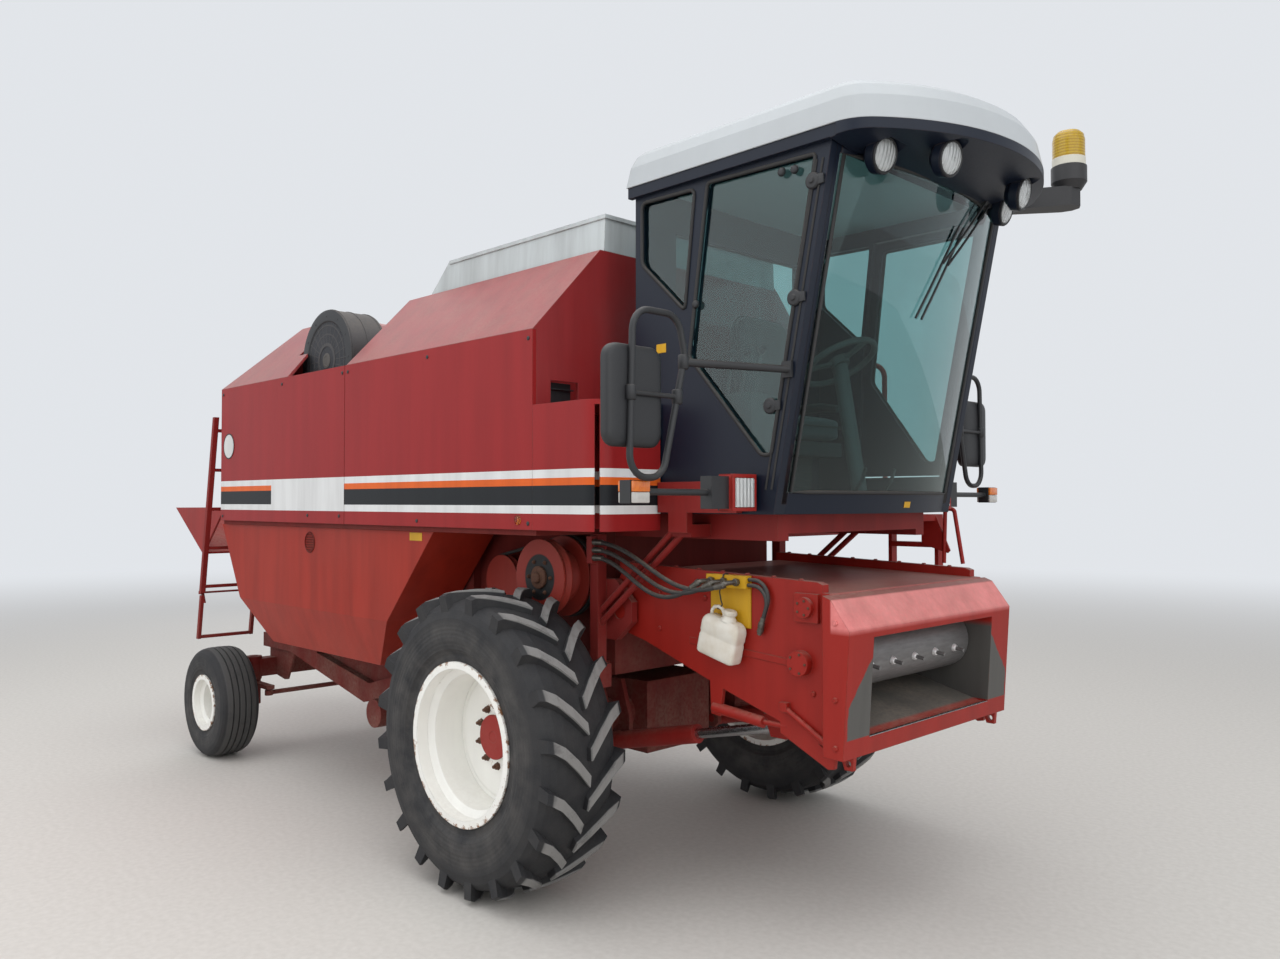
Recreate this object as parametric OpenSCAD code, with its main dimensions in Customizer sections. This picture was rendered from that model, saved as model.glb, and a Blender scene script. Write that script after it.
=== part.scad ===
// Self-propelled combine harvester, header taken off, stored as it parks.
// +X is forward, +Y is the machine's left, +Z is up. The ground is Z = 0.
// Inside the modules X = 0 is the front axle; placed() moves it to the origin.

/* [Wheels and axles] */
// Distance between the front and the rear axle
wheelbase = 3678; // [3640:1:3720]
// Distance between the middles of the front tyres
front_track = 2365; // [2350:1:2420]
// Radius of a front tyre at its lug tips
front_tyre_r = 758; // [745:1:770]
// Width of a front tyre
front_tyre_w = 467; // [440:1:480]
// Radius of a front rim at its flange
front_rim_r = 406; // [390:1:420]
// Distance between the middles of the rear tyres
rear_track = 2156; // [2130:1:2200]
// Radius of a rear tyre
rear_tyre_r = 415; // [400:1:425]
// Width of a rear tyre
rear_tyre_w = 290; // [270:1:300]
// Radius of a rear rim at its flange
rear_rim_r = 212; // [200:1:222]
// Thickness of the rim and disc metal
rim_metal = 12; // [8:1:14]
// Distance of the kingpins from the middle plane
kingpin_y = 820; // [800:1:830]

/* [Body] */
// Width over the upper side panels
body_w = 2390; // [2370:1:2410]
// Thickness of a side panel with its folded edges
panel_t = 25; // [15:1:30]
// Height of the lower edge of the side panels
panel_bottom_z = 1818; // [1812:1:1830]
// Height of the upper edge of the side panels
panel_top_z = 2804; // [2780:1:2830]
// Height of the top of the red slopes
slope_top_z = 3270; // [3250:1:3300]
// Width between the tops of the two slopes
slope_top_w = 1496; // [1480:1:1510]
// Front face of the grain tank, ahead of the front axle
tank_front_x = 333; // [325:1:345]
// Rear face of the grain tank, behind the front axle
tank_rear_x = -1510; // [-1530:1:-1490]
// Front edge of the engine hood
hood_front_x = -2320; // [-2340:1:-2300]
// Rear face of the body
body_rear_x = -3417; // [-3440:1:-3400]
// Thickness of the tank's sheet with its folds
tank_wall = 16; // [10:1:20]
// Height of the white tank extension
extension_h = 194; // [150:1:220]
// Half the width of the threshing housing
housing_half_w = 640; // [630:1:645]

/* [Cab] */
// Outer width of the cab
cab_w = 1540; // [1530:1:1550]
// Rear face of the cab
cab_rear_x = 620; // [615:1:640]
// Height of the underside of the cab floor
cab_floor_z = 1900; // [1890:1:1906]
// Height of the top of the cab's walls
cab_top_z = 3520; // [3500:1:3530]
// Thickness of the cab's walls and posts
cab_wall = 45; // [35:1:50]
// Forward lean of the windscreen, in degrees
screen_lean = 11.3; // [10.8:0.1:11.6]
// Thickness of the panes
glass_t = 8; // [6:1:10]
// Thickness of the white roof cap at its middle
roof_h = 205; // [180:1:220]

/* [Feeder house] */
// Outer width of the feeder house
feeder_w = 1360; // [1350:1:1366]
// Width of the header frame at its mouth
mouth_frame_w = 1460; // [1440:1:1480]
// Clear width of the mouth
mouth_w = 1080; // [1060:1:1090]
// Radius of the feeder drum
drum_r = 150; // [140:1:155]
// Length of a drum finger beyond the drum
finger_len = 55; // [40:1:60]
// Radius of the lift cylinders' barrels
lift_barrel_r = 48; // [44:1:50]
// Radius of the lift cylinders' rods
lift_rod_r = 25; // [20:1:28]

/* [Fittings] */
// Radius of the round air screen
screen_r = 345; // [330:1:350]
// Radius of the unloading auger's tube
auger_r = 140; // [130:1:145]
// Length of the unloading auger beyond its elbow
auger_len = 3000; // [2900:1:3100]
// Radius of the mirror and hand rail tubes
rail_r = 14; // [12:1:16]
// Radius of the rear hitch pin's hole
hitch_hole_r = 16; // [14:0.5:18]
// Radius of the holes for the header's lock pins
lock_hole_r = 13; // [11:0.5:14]
// Gap left between pieces that move past each other
running_gap = 10; // [8:1:12]

/* [Hidden] */
$fn = 48;

// Colours of the real machine
red = [0.62, 0.10, 0.09];
dark_red = [0.42, 0.07, 0.07];
white = [0.90, 0.89, 0.83];
black = [0.06, 0.06, 0.08];
steel = [0.55, 0.55, 0.55];
rubber = [0.10, 0.10, 0.11];
glass = [0.55, 0.75, 0.75, 0.4];
yellow = [0.95, 0.75, 0.10];

// Small distances shared by many pieces
seat_gap = 0.3;
pin_gap = 0.05;
cut = 1;

// Places along the machine, from the front axle
deflector_tip_x = body_rear_x - 1313;
visor_front_x = 2248;
front_axle_x = -(deflector_tip_x + visor_front_x) / 2;
half_body = body_w / 2;
half_slope = slope_top_w / 2;
panel_inner = half_body - panel_t;
deck_t = 28;
deck_z = panel_bottom_z - deck_t;

// Front axle and its hubs
stub_r = 55;
front_hub_in = 70;
front_hub_out = -10;
rear_stub_r = 30;
rear_hub_in = 90;
rear_hub_out = -5;

// Cab outline: the front posts lean with the windscreen
half_cab = cab_w / 2;
lean = tan(screen_lean);
screen_foot_z = 2050;
function screen_x(z) = 1505 + lean * (z - screen_foot_z);
sill_top_z = 1995;
door_sill_z = 2092;
post_w = 70;
screen_half_w = 700;
screen_bow_r = 2400;
screen_bow = screen_bow_r - sqrt(pow(screen_bow_r, 2) - pow(screen_half_w, 2));

// Roof outline: straight sides and a round nose
roof_half_w = 805;
roof_rear_x = 590;
roof_nose_r = 1120;
roof_nose_x = visor_front_x - roof_nose_r;

// Feeder house outline and its pivot
feeder_pivot_x = 460;
feeder_pivot_z = 1400;
half_feeder = feeder_w / 2;
half_mouth = mouth_w / 2;
drum_x = 1560;
drum_z = 1257;
rod_eye_x = 1300;
rod_eye_z = 905;
lift_foot_x = 120;
lift_foot_z = 640;
lift_y = 450;
lock_x = 1774;
lock_z = 854;
lock_y = 640;
post_y = 760;
post_half = 30;
rail_z = front_tyre_r + 242;
rail_w = 55;

// Rear axle
beam_z = rear_tyre_r + 225;
arm_reach = 280;
rod_z = rear_tyre_r + 105;
hitch_x = -wheelbase - 452;

// Ladder at the right rear corner
ladder_outer_y = -1200;
ladder_inner_y = -790;
function ladder_x(z) = body_rear_x - 93 - 0.176 * (2600 - z);
ladder_break_z = 1250;
stile_half = 18;
ladder_hinge_x = ladder_x(ladder_break_z) - stile_half - 24;
ladder_pin_r = 8;

// Straw deflector
deflector_hinge_x = body_rear_x - 328;
hood_rear_x = body_rear_x - 348;
deflector_hinge_z = 1900;
deflector_half_w = 1050;

// Unloading auger
auger_x = -60;
auger_y = 1020;
auger_z = 3235;
auger_flange_r = auger_r + 22;

// Shared shapes
module placed() {
  translate([front_axle_x, 0, 0]) children();
}

module both_sides() {
  children();
  mirror([0, 1, 0]) children();
}

// An outline in X and Z, as thick as from y0 to y1
module side_plate(points, y0, y1) {
  translate([0, y1, 0]) rotate([90, 0, 0]) linear_extrude(y1 - y0) polygon(points);
}

// An outline in Y and Z, as long as from x0 to x1
module cross_bar(points, x0, x1) {
  translate([x0, 0, 0]) rotate([90, 0, 90]) linear_extrude(x1 - x0) polygon(points);
}

// A block between two corners
module block(low, high) {
  translate(low) cube(high - low);
}

// A round bar from a to b
module rod(a, b, r) {
  d = b - a;
  translate(a) rotate([0, acos(d[2] / norm(d)), atan2(d[1], d[0])]) cylinder(h = norm(d), r = r);
}

function unit(v) = v / norm(v);

// One bend of a round bar at b, between the directions of a and c
module tube_bend(a, b, c, r, bend_r) {
  u = unit(a - b);
  v = unit(c - b);
  turn = 180 - acos(u * v);
  reach = bend_r * tan(turn / 2);
  centre = b + unit(u + v) * bend_r / cos(turn / 2);
  x_axis = unit(b + u * reach - centre);
  y_axis = -u;
  z_axis = cross(x_axis, y_axis);
  upright = abs(x_axis[2]) > 0.99999;
  roll = upright ? atan2(-sign(x_axis[2]) * y_axis[0], y_axis[1]) : atan2(y_axis[2], z_axis[2]);
  pitch = upright ? -90 * sign(x_axis[2]) : asin(-x_axis[2]);
  yaw = upright ? 0 : atan2(x_axis[1], x_axis[0]);
  translate(centre) rotate([roll, pitch, yaw])
    rotate_extrude(angle = turn) translate([bend_r, 0]) circle(r * 1.04, $fn = 20);
}

// A round bar along points, bent with the radius bend_r at each of them
module bent_tube(points, r, bend_r, closed = false) {
  n = len(points);
  function at(i) = points[(i + n) % n];
  function end(i) = !closed && (i == 0 || i == n - 1);
  function reach(i) = end(i) ? 0
    : bend_r * tan((180 - acos(unit(at(i - 1) - at(i)) * unit(at(i + 1) - at(i)))) / 2) - 1;
  for (i = [0 : closed ? n - 1 : n - 2]) {
    along = unit(at(i + 1) - at(i));
    rod(at(i) + along * reach(i), at(i + 1) - along * reach((i + 1) % n), r);
  }
  for (i = [closed ? 0 : 1 : 1 : closed ? n - 1 : n - 2]) tube_bend(at(i - 1), at(i), at(i + 1), r, bend_r);
}

// A rectangle with round corners
module rounded_rect(w, h, r) {
  square([w - 2 * r, h], center = true);
  square([w, h - 2 * r], center = true);
  for (sx = [-1, 1], sy = [-1, 1]) translate([sx * (w / 2 - r), sy * (h / 2 - r)]) circle(r);
}

// A cylinder along Y from y0 to y1, centred on x and z
module cross_shaft(x, z, r, y0, y1) {
  translate([x, y1, z]) rotate([90, 0, 0]) cylinder(h = y1 - y0, r = r);
}

// A ring that turns about Y at x and z; profile points are [radius, y]
module wheel_ring(profile, x, z, facets = 72) {
  translate([x, 0, z]) rotate([-90, 0, 0]) rotate_extrude($fn = facets) polygon(profile);
}

// Wheels
function tyre_half(tip_r, rim_r, w, bead_half) =
  [for (a = [90 : -16 : -38])
    [(rim_r + tip_r) / 2 + (tip_r - rim_r) / 2 * sign(sin(a)) * pow(abs(sin(a)), 0.55),
     w / 2 * pow(abs(cos(a)), 0.55)]];

module tyre(x, z, y, tip_r, rim_r, w) {
  seat_r = rim_r - 25;
  bead_half = w * 0.43;
  upper = tyre_half(tip_r, rim_r, w, bead_half);
  half = concat(upper, [[rim_r + 2, bead_half], [seat_r, bead_half]]);
  other = [for (i = [len(half) - 1 : -1 : 1]) [half[i][0], -half[i][1]]];
  translate([0, y, 0]) wheel_ring(concat(half, other), x, z);
}

// A place on a drum about Y: the angle counts from the top forwards, and aside is a length along the rim
function round_axle(radius, y, angle, aside) = let (a = angle + aside / radius * 57.3)
  [radius * sin(a), y, radius * cos(a)];

// One lug from the shoulder to the middle. Each row: Y and change of radius at its top, Y and change
// of radius at its foot, and degrees round the wheel
lug_rows = [[232, -25, 220, -130, 0], [205, -10, 200, -86, 0.7], [150, -3, 150, -58, 3.2],
  [75, 0, 75, -50, 8.6], [4, 0, 4, -49, 14.6]];
lug_height = 38;
lugs_a_side = 20;
lug_faces = concat([[3, 2, 1, 0], [16, 17, 18, 19]], [for (i = [0 : 3], k = [0 : 3])
  let (a = 4 * i + k, b = 4 * i + (k + 1) % 4) each [[a, b + 4, a + 4], [a, b, b + 4]]]);
module lug(tip_r) {
  points = [for (row = lug_rows) each [
    round_axle(tip_r + row[1], row[0], row[4], -27), round_axle(tip_r + row[1], row[0], row[4], 27),
    round_axle(tip_r + row[3], row[2], row[4], 34), round_axle(tip_r + row[3], row[2], row[4], -34)]];
  polyhedron(points, lug_faces, convexity = 4);
}

// Rim with its well, disc and hub; out is 1 on the left side and -1 on the right
module rim(x, z, y, rim_r, w, hub_r, bore_r, hub_in, hub_out, disc_y, out) {
  seat_r = rim_r - 25;
  bead_half = w * 0.43;
  edge = bead_half + rim_metal;
  well_r = seat_r - rim_metal * 3;
  well_out = bead_half * 0.62;
  well_in = -bead_half * 0.3;
  ramp = bead_half * 0.12;
  inner = rim_metal;
  profile = [[rim_r, -edge], [rim_r, -bead_half], [seat_r, -bead_half],
    [seat_r, well_in - ramp], [well_r, well_in], [well_r, well_out], [seat_r, well_out + ramp],
    [seat_r, bead_half], [rim_r, bead_half], [rim_r, edge],
    [seat_r - inner, edge], [seat_r - inner, well_out + ramp], [well_r - inner, well_out],
    [well_r - inner, well_in], [seat_r - inner, well_in - ramp], [seat_r - inner, -edge]];
  ring_r = well_r - inner;
  edge_y = max(disc_y - 6, well_in + 18);
  thick = rim_metal + 4;
  disc = [[ring_r + 0.5, edge_y], [ring_r * 0.94, edge_y], [ring_r * 0.9, disc_y], [hub_r - 2, disc_y],
    [hub_r - 2, disc_y - thick], [ring_r * 0.9, disc_y - thick],
    [ring_r * 0.94, edge_y - thick], [ring_r + 0.5, edge_y - thick]];
  translate([0, y, 0]) mirror([0, out > 0 ? 0 : 1, 0]) {
    wheel_ring(profile, x, z);
    wheel_ring(disc, x, z);
    difference() {
      cross_shaft(x, z, hub_r, -hub_in, hub_out);
      cross_shaft(x, z, bore_r, -hub_in - cut, hub_out - 30);
    }
  }
}

module front_tyre(out) {
  color(rubber) placed() {
    tyre(0, front_tyre_r, out * front_track / 2, front_tyre_r - lug_height, front_rim_r, front_tyre_w);
    translate([0, out * front_track / 2, front_tyre_r]) for (i = [0 : lugs_a_side - 1], side = [0, 1])
      rotate([0, (i + side / 2) * 360 / lugs_a_side, 0]) mirror([0, side, 0]) lug(front_tyre_r);
  }
}

module front_rim(out) {
  color(white) placed() rim(0, front_tyre_r, out * front_track / 2, front_rim_r, front_tyre_w,
    113, stub_r + pin_gap, front_hub_in, front_hub_out, -36, out);
}

// Ribbed steering tyre with four grooves round it
module rear_tyre(out) {
  middle = out * rear_track / 2;
  color(rubber) placed() difference() {
    tyre(-wheelbase, rear_tyre_r, middle, rear_tyre_r, rear_rim_r, rear_tyre_w);
    for (side = [-66, -23, 23, 66]) translate([0, middle + side, 0]) wheel_ring([[rear_tyre_r - 14, -4],
      [rear_tyre_r + 5, -7], [rear_tyre_r + 5, 7], [rear_tyre_r - 14, 4]], -wheelbase, rear_tyre_r);
  }
}

module rear_rim(out) {
  color(white) placed() rim(-wheelbase, rear_tyre_r, out * rear_track / 2, rear_rim_r, rear_tyre_w,
    62, rear_stub_r + pin_gap, rear_hub_in, rear_hub_out, -40, out);
}

// Front axle: gearbox, tubes, final drives and stub shafts
module front_axle() {
  hub_face = front_track / 2 - front_hub_in;
  color(dark_red) placed() {
    block([-210, -260, front_tyre_r - 210], [190, 260, front_tyre_r + 190]);
    cross_shaft(0, front_tyre_r, 95, -hub_face + 210, hub_face - 210);
    both_sides() {
      cross_shaft(0, front_tyre_r, 190, hub_face - 260, hub_face - 90);
      cross_shaft(0, front_tyre_r, 120, hub_face - 90, hub_face - running_gap);
      cross_shaft(0, front_tyre_r, stub_r, hub_face - running_gap, hub_face + 25);
      // Seats under the chassis rails
      side_plate([[-150, front_tyre_r + 40], [-190, rail_z], [190, rail_z], [150, front_tyre_r + 40]],
        housing_half_w, housing_half_w + rail_w);
      // Pairs of plates that hold the lift cylinders' foot pins
      for (y = [lift_y - 90, lift_y + 62]) difference() {
        side_plate([[-110, front_tyre_r + 40], [-110, rail_z - 30], [110, rail_z - 30], [180, 760],
          [lift_foot_x + 55, lift_foot_z - 20], [lift_foot_x + 25, lift_foot_z - 50],
          [lift_foot_x - 25, lift_foot_z - 50], [-40, 700]], y, y + 28);
        cross_shaft(lift_foot_x, lift_foot_z, 25 + pin_gap, y - cut, y + 28 + cut);
      }
    }
  }
}

// Chassis rails, deck, axle hanger and hitch
module chassis() {
  rear = -wheelbase;
  rail = [[290, rail_z], [290, rail_z + 120], [-500, rail_z + 120], [-2100, 700], [rear + 398, 900],
    [rear - 102, 900], [rear - 102, 790], [rear + 378, 790], [-2170, 560], [-560, rail_z]];
  color(red) placed() {
    both_sides() {
      side_plate(rail, housing_half_w, housing_half_w + rail_w);
      // Uprights that carry the deck
      for (up = [[-900, 960], [-2900, 780]])
        block([up[0] - 40, housing_half_w, up[1]], [up[0] + 40, housing_half_w + rail_w, deck_z]);
    }
    // Deck under the tank and the engine
    block([body_rear_x, -panel_inner, deck_z], [tank_front_x, panel_inner, panel_bottom_z]);
    // Hanger for the rear axle's swing pin
    block([rear - 60, -housing_half_w, 790], [rear + 60, housing_half_w, 900]);
    block([rear - 60, -80, beam_z + 70], [rear + 60, 80, 790]);
    // Hitch: a clevis of two plates on a short drawbar
    block([hitch_x + 50, -50, 800], [rear - 60, 50, 860]);
    difference() {
      union() {
        block([hitch_x - 50, -60, 860], [hitch_x + 130, 60, 880]);
        block([hitch_x - 50, -60, 780], [hitch_x + 130, 60, 800]);
      }
      translate([hitch_x, 0, 770]) cylinder(h = 120, r = hitch_hole_r);
    }
  }
}

// Frame under the cab: front posts with the feeder's bearing plates, beams, struts and side beam
module cab_frame() {
  color(red) placed() {
    both_sides() {
      block([tank_front_x - 30, post_y - post_half, rail_z],
        [tank_front_x + 30, post_y + post_half, deck_z]);
      block([200, housing_half_w + rail_w, rail_z], [tank_front_x + 30, post_y - post_half, rail_z + 120]);
      difference() {
        side_plate([[tank_front_x - 30, 1250], [tank_front_x + 100, 1250], [feeder_pivot_x + 90, 1350],
          [feeder_pivot_x + 90, 1450], [tank_front_x + 100, 1560], [tank_front_x - 30, 1560]],
          half_feeder + running_gap, post_y - post_half);
        cross_shaft(feeder_pivot_x, feeder_pivot_z, 40 + pin_gap, half_feeder, post_y);
      }
      // Beam under the cab and the twin struts that brace it
      block([tank_front_x, 560, deck_z - 12], [1400, 640, cab_floor_z]);
      for (dz = [0, 62])
        rod([350, post_y, 1330 + dz], [960 - dz, post_y, deck_z + 40 + dz * 0.2], 16);
      block([880, 640, deck_z], [1000, post_y + 20, deck_z + 60]);
    }
    // Cross member under the cab
    block([1320, -560, deck_z + 20], [1400, 560, cab_floor_z]);
    // Bulkhead that the hoses leave from
    block([tank_front_x - 20, -post_y - post_half - 34, 1640],
      [tank_front_x + 20, -post_y - post_half, 1780]);
    // Beam along the cab's foot on the right, on its riser
    block([810, -half_cab - 40, cab_floor_z + 5], [1300, -half_cab - seat_gap, cab_floor_z + 150]);
    block([880, -half_cab - 40, deck_z + 20], [1000, -half_cab - seat_gap, cab_floor_z + 20]);
  }
}

// Closed threshing and cleaning housing, solid, with its auger boots
module threshing_body() {
  outline = [[tank_front_x, rail_z + 50], [120, rail_z + 10], [-300, rail_z + 10], [-700, 860],
    [-1500, 560], [-2100, 545], [-2500, 640], [body_rear_x + 167, 800], [body_rear_x + 87, 1100],
    [body_rear_x, deck_z - 200],
    [body_rear_x, deck_z], [tank_front_x, deck_z]];
  color(dark_red) placed() {
    side_plate(outline, -housing_half_w, housing_half_w);
    both_sides() cross_shaft(-1850, 545, 95, housing_half_w - 40, housing_half_w + 160);
  }
}

// Upper side panel of two sheets; a groove shows where they meet
module side_panel(out) {
  seam_x = tank_rear_x - 19;
  color(red) placed() mirror([0, out > 0 ? 0 : 1, 0]) difference() {
    block([body_rear_x, panel_inner, panel_bottom_z], [tank_front_x, half_body, panel_top_z]);
    block([seam_x - 3, half_body - 5, panel_bottom_z - cut],
      [seam_x + 3, half_body + cut, panel_top_z + cut]);
  }
}

// Closed front corner on the right, hollow and open below
module corner_panel() {
  corner_x = 800;
  corner_top = 2430;
  corner_r = 110;
  inner_y = -half_cab - running_gap;
  color(red) placed() difference() {
    union() {
      block([tank_front_x + seat_gap, -half_body, panel_bottom_z],
        [corner_x - corner_r, inner_y, corner_top]);
      block([corner_x - corner_r, -half_body + corner_r, panel_bottom_z], [corner_x, inner_y, corner_top]);
      translate([corner_x - corner_r, -half_body + corner_r, panel_bottom_z])
        cylinder(h = corner_top - panel_bottom_z, r = corner_r);
    }
    block([tank_front_x + panel_t, -half_body + panel_t, panel_bottom_z - cut],
      [corner_x - panel_t, inner_y - panel_t, corner_top - panel_t]);
  }
}

function slope_section(inset, base_z) = [[-panel_inner + inset, base_z],
  [-panel_inner + inset, panel_top_z], [-half_body + inset * 1.4, panel_top_z], [-half_slope + inset * 0.4, slope_top_z],
  [half_slope - inset * 0.4, slope_top_z], [half_body - inset * 1.4, panel_top_z],
  [panel_inner - inset, panel_top_z], [panel_inner - inset, base_z]];

// Open-topped grain tank with a hopper floor
module grain_tank() {
  floor_half = 260;
  hopper_top = 2500;
  hopper_floor = panel_bottom_z + 90;
  inside = panel_inner - tank_wall;
  well_r = auger_flange_r + running_gap;
  color(red) placed() difference() {
    cross_bar(slope_section(0, panel_bottom_z), tank_rear_x, tank_front_x);
    difference() {
    cross_bar([[-floor_half, hopper_floor], [floor_half, hopper_floor], [inside, hopper_top],
      [inside, panel_top_z - 4], [half_slope - tank_wall, slope_top_z - 8],
      [half_slope - tank_wall, slope_top_z + cut], [-half_slope + tank_wall, slope_top_z + cut],
      [-half_slope + tank_wall, slope_top_z - 8], [-inside, panel_top_z - 4], [-inside, hopper_top]],
      tank_rear_x + tank_wall, tank_front_x - tank_wall);
      translate([auger_x, auger_y, panel_bottom_z - 2 * cut]) cylinder(h = 1600, r = well_r + tank_wall);
    }
    // Well for the unloading auger's upright
    translate([auger_x, auger_y, panel_bottom_z - cut]) cylinder(h = 1600, r = well_r);
    // Small window in the front wall
    block([tank_front_x - 60, -1080, 2430], [tank_front_x + cut, -900, 2560]);
  }
}

// White open frame that raises the tank's rim, with a lip folded out along its top
module tank_extension() {
  lip_out = 8;
  lip_h = 22;
  top_z = slope_top_z + extension_h;
  half_base = half_slope - 28;
  half_top = half_base - 10;
  rear_low = tank_rear_x + 203;
  rear_high = rear_low + extension_h * 1.02;
  color(white) placed() {
    both_sides() block([rear_high + 12, half_top - 4, top_z - lip_h],
      [tank_front_x, half_top + lip_out, top_z]);
    block([tank_front_x - 4, -half_top - lip_out, top_z - lip_h],
      [tank_front_x + lip_out, half_top + lip_out, top_z]);
    difference() {
      intersection() {
        cross_bar([[-half_base, slope_top_z], [half_base, slope_top_z], [half_top, top_z],
          [-half_top, top_z]], tank_rear_x, tank_front_x);
        side_plate([[rear_low, slope_top_z], [tank_front_x, slope_top_z], [tank_front_x, top_z],
          [rear_high, top_z]], -half_body, half_body);
      }
      intersection() {
        cross_bar([[-half_base + tank_wall, slope_top_z - cut], [half_base - tank_wall, slope_top_z - cut],
          [half_top - tank_wall, top_z + cut], [-half_top + tank_wall, top_z + cut]],
          tank_rear_x, tank_front_x - tank_wall);
        side_plate([[rear_low + tank_wall - 1, slope_top_z - cut], [tank_front_x, slope_top_z - cut],
          [tank_front_x, top_z + cut], [rear_high + tank_wall + 1, top_z + cut]], -half_body, half_body);
      }
    }
  }
}

// Engine hood behind the tank: slopes on three sides, open to the engine bay
module hood_solid(inset, front_x) {
  rear = body_rear_x + inset;
  intersection() {
    cross_bar(slope_section(inset, panel_bottom_z), body_rear_x, front_x + 200);
    side_plate([[rear, panel_bottom_z - cut], [front_x, panel_bottom_z - cut], [front_x, panel_top_z],
      [front_x - 160, slope_top_z - inset], [rear + 397, slope_top_z - inset], [rear, panel_top_z]],
      -half_body, half_body);
  }
}

module engine_hood() {
  color(red) placed() difference() {
    hood_solid(0, hood_front_x);
    hood_solid(20, hood_front_x + 60);
    // Room for the air screen
    cross_shaft(screen_x_pos, screen_z_pos, screen_r + 25, screen_outer_y - 20, duct_y + 60);
  }
}

// Engine, one plain block at its real place across the bay
module engine() {
  color(dark_red) placed() block([-2300, -150, panel_bottom_z + 60], [-1640, 850, 2900]);
  color(dark_red) placed() for (x = [-2200, -1800])
    block([x, -100, panel_bottom_z], [x + 80, 800, panel_bottom_z + 60]);
}

// Air duct from the round screen to the engine's radiator
screen_x_pos = -2150;
screen_z_pos = 2915;
screen_outer_y = -1000;
screen_shaft_r = 30;
duct_y = -720;
module air_duct() {
  color(red) placed() {
    cross_shaft(screen_x_pos, screen_z_pos, 300, duct_y, -150);
    cross_shaft(screen_x_pos, screen_z_pos, screen_shaft_r, screen_outer_y + 14, duct_y);
    block([screen_x_pos - 260, duct_y + 20, panel_bottom_z], [screen_x_pos + 260, -200, screen_z_pos - 60]);
  }
}

// Round air screen that turns about Y on the duct's shaft: a drum whose face is spokes and rings
module rotary_screen() {
  web = 14;
  spokes = 24;
  open_in = 120;
  open_out = 300;
  ring_step = (open_out - open_in) / 3;
  color(black) placed() difference() {
    union() {
      difference() {
        cross_shaft(screen_x_pos, screen_z_pos, screen_r, screen_outer_y, duct_y - running_gap);
        cross_shaft(screen_x_pos, screen_z_pos, screen_r - web, screen_outer_y + web, duct_y);
        wheel_ring([[open_in, screen_outer_y - cut], [open_out, screen_outer_y - cut],
          [open_out, screen_outer_y + web + cut], [open_in, screen_outer_y + web + cut]],
          screen_x_pos, screen_z_pos);
        cross_shaft(screen_x_pos, screen_z_pos, 98, screen_outer_y - cut, screen_outer_y + 6);
      }
      translate([screen_x_pos, screen_outer_y + 2, screen_z_pos]) {
        for (i = [0 : spokes - 1]) rotate([0, i * 360 / spokes, 0])
          translate([open_in - 5, 0, -3]) cube([open_out - open_in + 10, web - 4, 6]);
        for (i = [1, 2]) rotate([-90, 0, 0]) rotate_extrude() translate([open_in + i * ring_step - 4, 0])
          square([8, web - 4]);
      }
      cross_shaft(screen_x_pos, screen_z_pos, 65, screen_outer_y + web - 2, duct_y - running_gap);
    }
    cross_shaft(screen_x_pos, screen_z_pos, screen_shaft_r + pin_gap, screen_outer_y + web - seat_gap,
      duct_y);
  }
}

// Lower side cover: a folded sheet with a full front return, hinged at its top
cover_top_z = deck_z - seat_gap;
cover_y = 1150;
module cover_profile(inset, y0, y1) {
  side_plate([[-600 - inset, cover_top_z], [-1094 - inset, 1247], [-1327 - inset, 955 + inset * 0.9],
    [body_rear_x + 607 + inset, 955 + inset * 0.9], [body_rear_x + 247 + inset, 1260],
    [body_rear_x - 78 + inset, cover_top_z]], y0, y1);
}

module lower_cover(out) {
  skin = 20;
  color(red) placed() mirror([0, out > 0 ? 0 : 1, 0]) difference() {
    intersection() {
      cover_profile(0, 720, half_body);
      cross_bar([[720, cover_top_z], [cover_y, cover_top_z], [cover_y, 1250], [cover_y - 100, 940],
        [720, 940]], -3600, 0);
    }
    intersection() {
      cover_profile(skin, 700, half_body);
      cross_bar([[700, cover_top_z - skin], [cover_y - skin, cover_top_z - skin], [cover_y - skin, 1254],
        [cover_y - skin - 100, 930], [700, 930]], -3600, 0);
    }
    block([-3600, 700, 900], [-1400, 1000, cover_top_z - skin]);
  }
}

// Cab
module cab_volume(inset) {
  top_z = cab_top_z + (inset > 0 ? 1 : 0);
  low_z = cab_floor_z + inset;
  side_plate([[cab_rear_x + inset, low_z], [cab_rear_x + inset, top_z], [screen_x(cab_top_z), top_z],
    [screen_x(low_z), low_z]], -half_cab + inset, half_cab - inset);
}

// The bowed front of the cab; grow makes it stand outside the glass
module bow_volume(grow, z0, z1, half_w) {
  intersection() {
    translate([screen_x(screen_foot_z) + screen_bow, 0, screen_foot_z]) rotate([0, screen_lean, 0])
      translate([-screen_bow_r, 0, -400]) cylinder(h = 2200, r = screen_bow_r + grow, $fn = 180);
    block([1200, -half_w, z0], [2200, half_w, z1]);
  }
}

// The same outline with each corner rounded by three short edges
function rounded(points, reach) = let (n = len(points)) [for (i = [0 : n - 1])
  let (back = unit(points[(i + n - 1) % n] - points[i]), ahead = unit(points[(i + 1) % n] - points[i]))
  each [points[i] + back * reach, points[i] + (back + ahead) * reach * 0.29 + (back - ahead) * reach * 0.2,
    points[i] + (back + ahead) * reach * 0.29 - (back - ahead) * reach * 0.2, points[i] + ahead * reach]];

quarter_pane = rounded([[668, 3435], [1020, 3428], [955, 2862], [668, 3128]], 32);
door_pane = rounded([[1100, 3440], [1708, 3425], [1466, 2162], [1412, 2162], [982, 2640]], 20);

// A place on the hinge line of the door, along the leaning front post
hinge_out = 14;
module along_post(z) {
  translate([screen_x(z) - post_w - 4, half_cab + hinge_out, z]) rotate([0, screen_lean, 0]) children();
}

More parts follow.
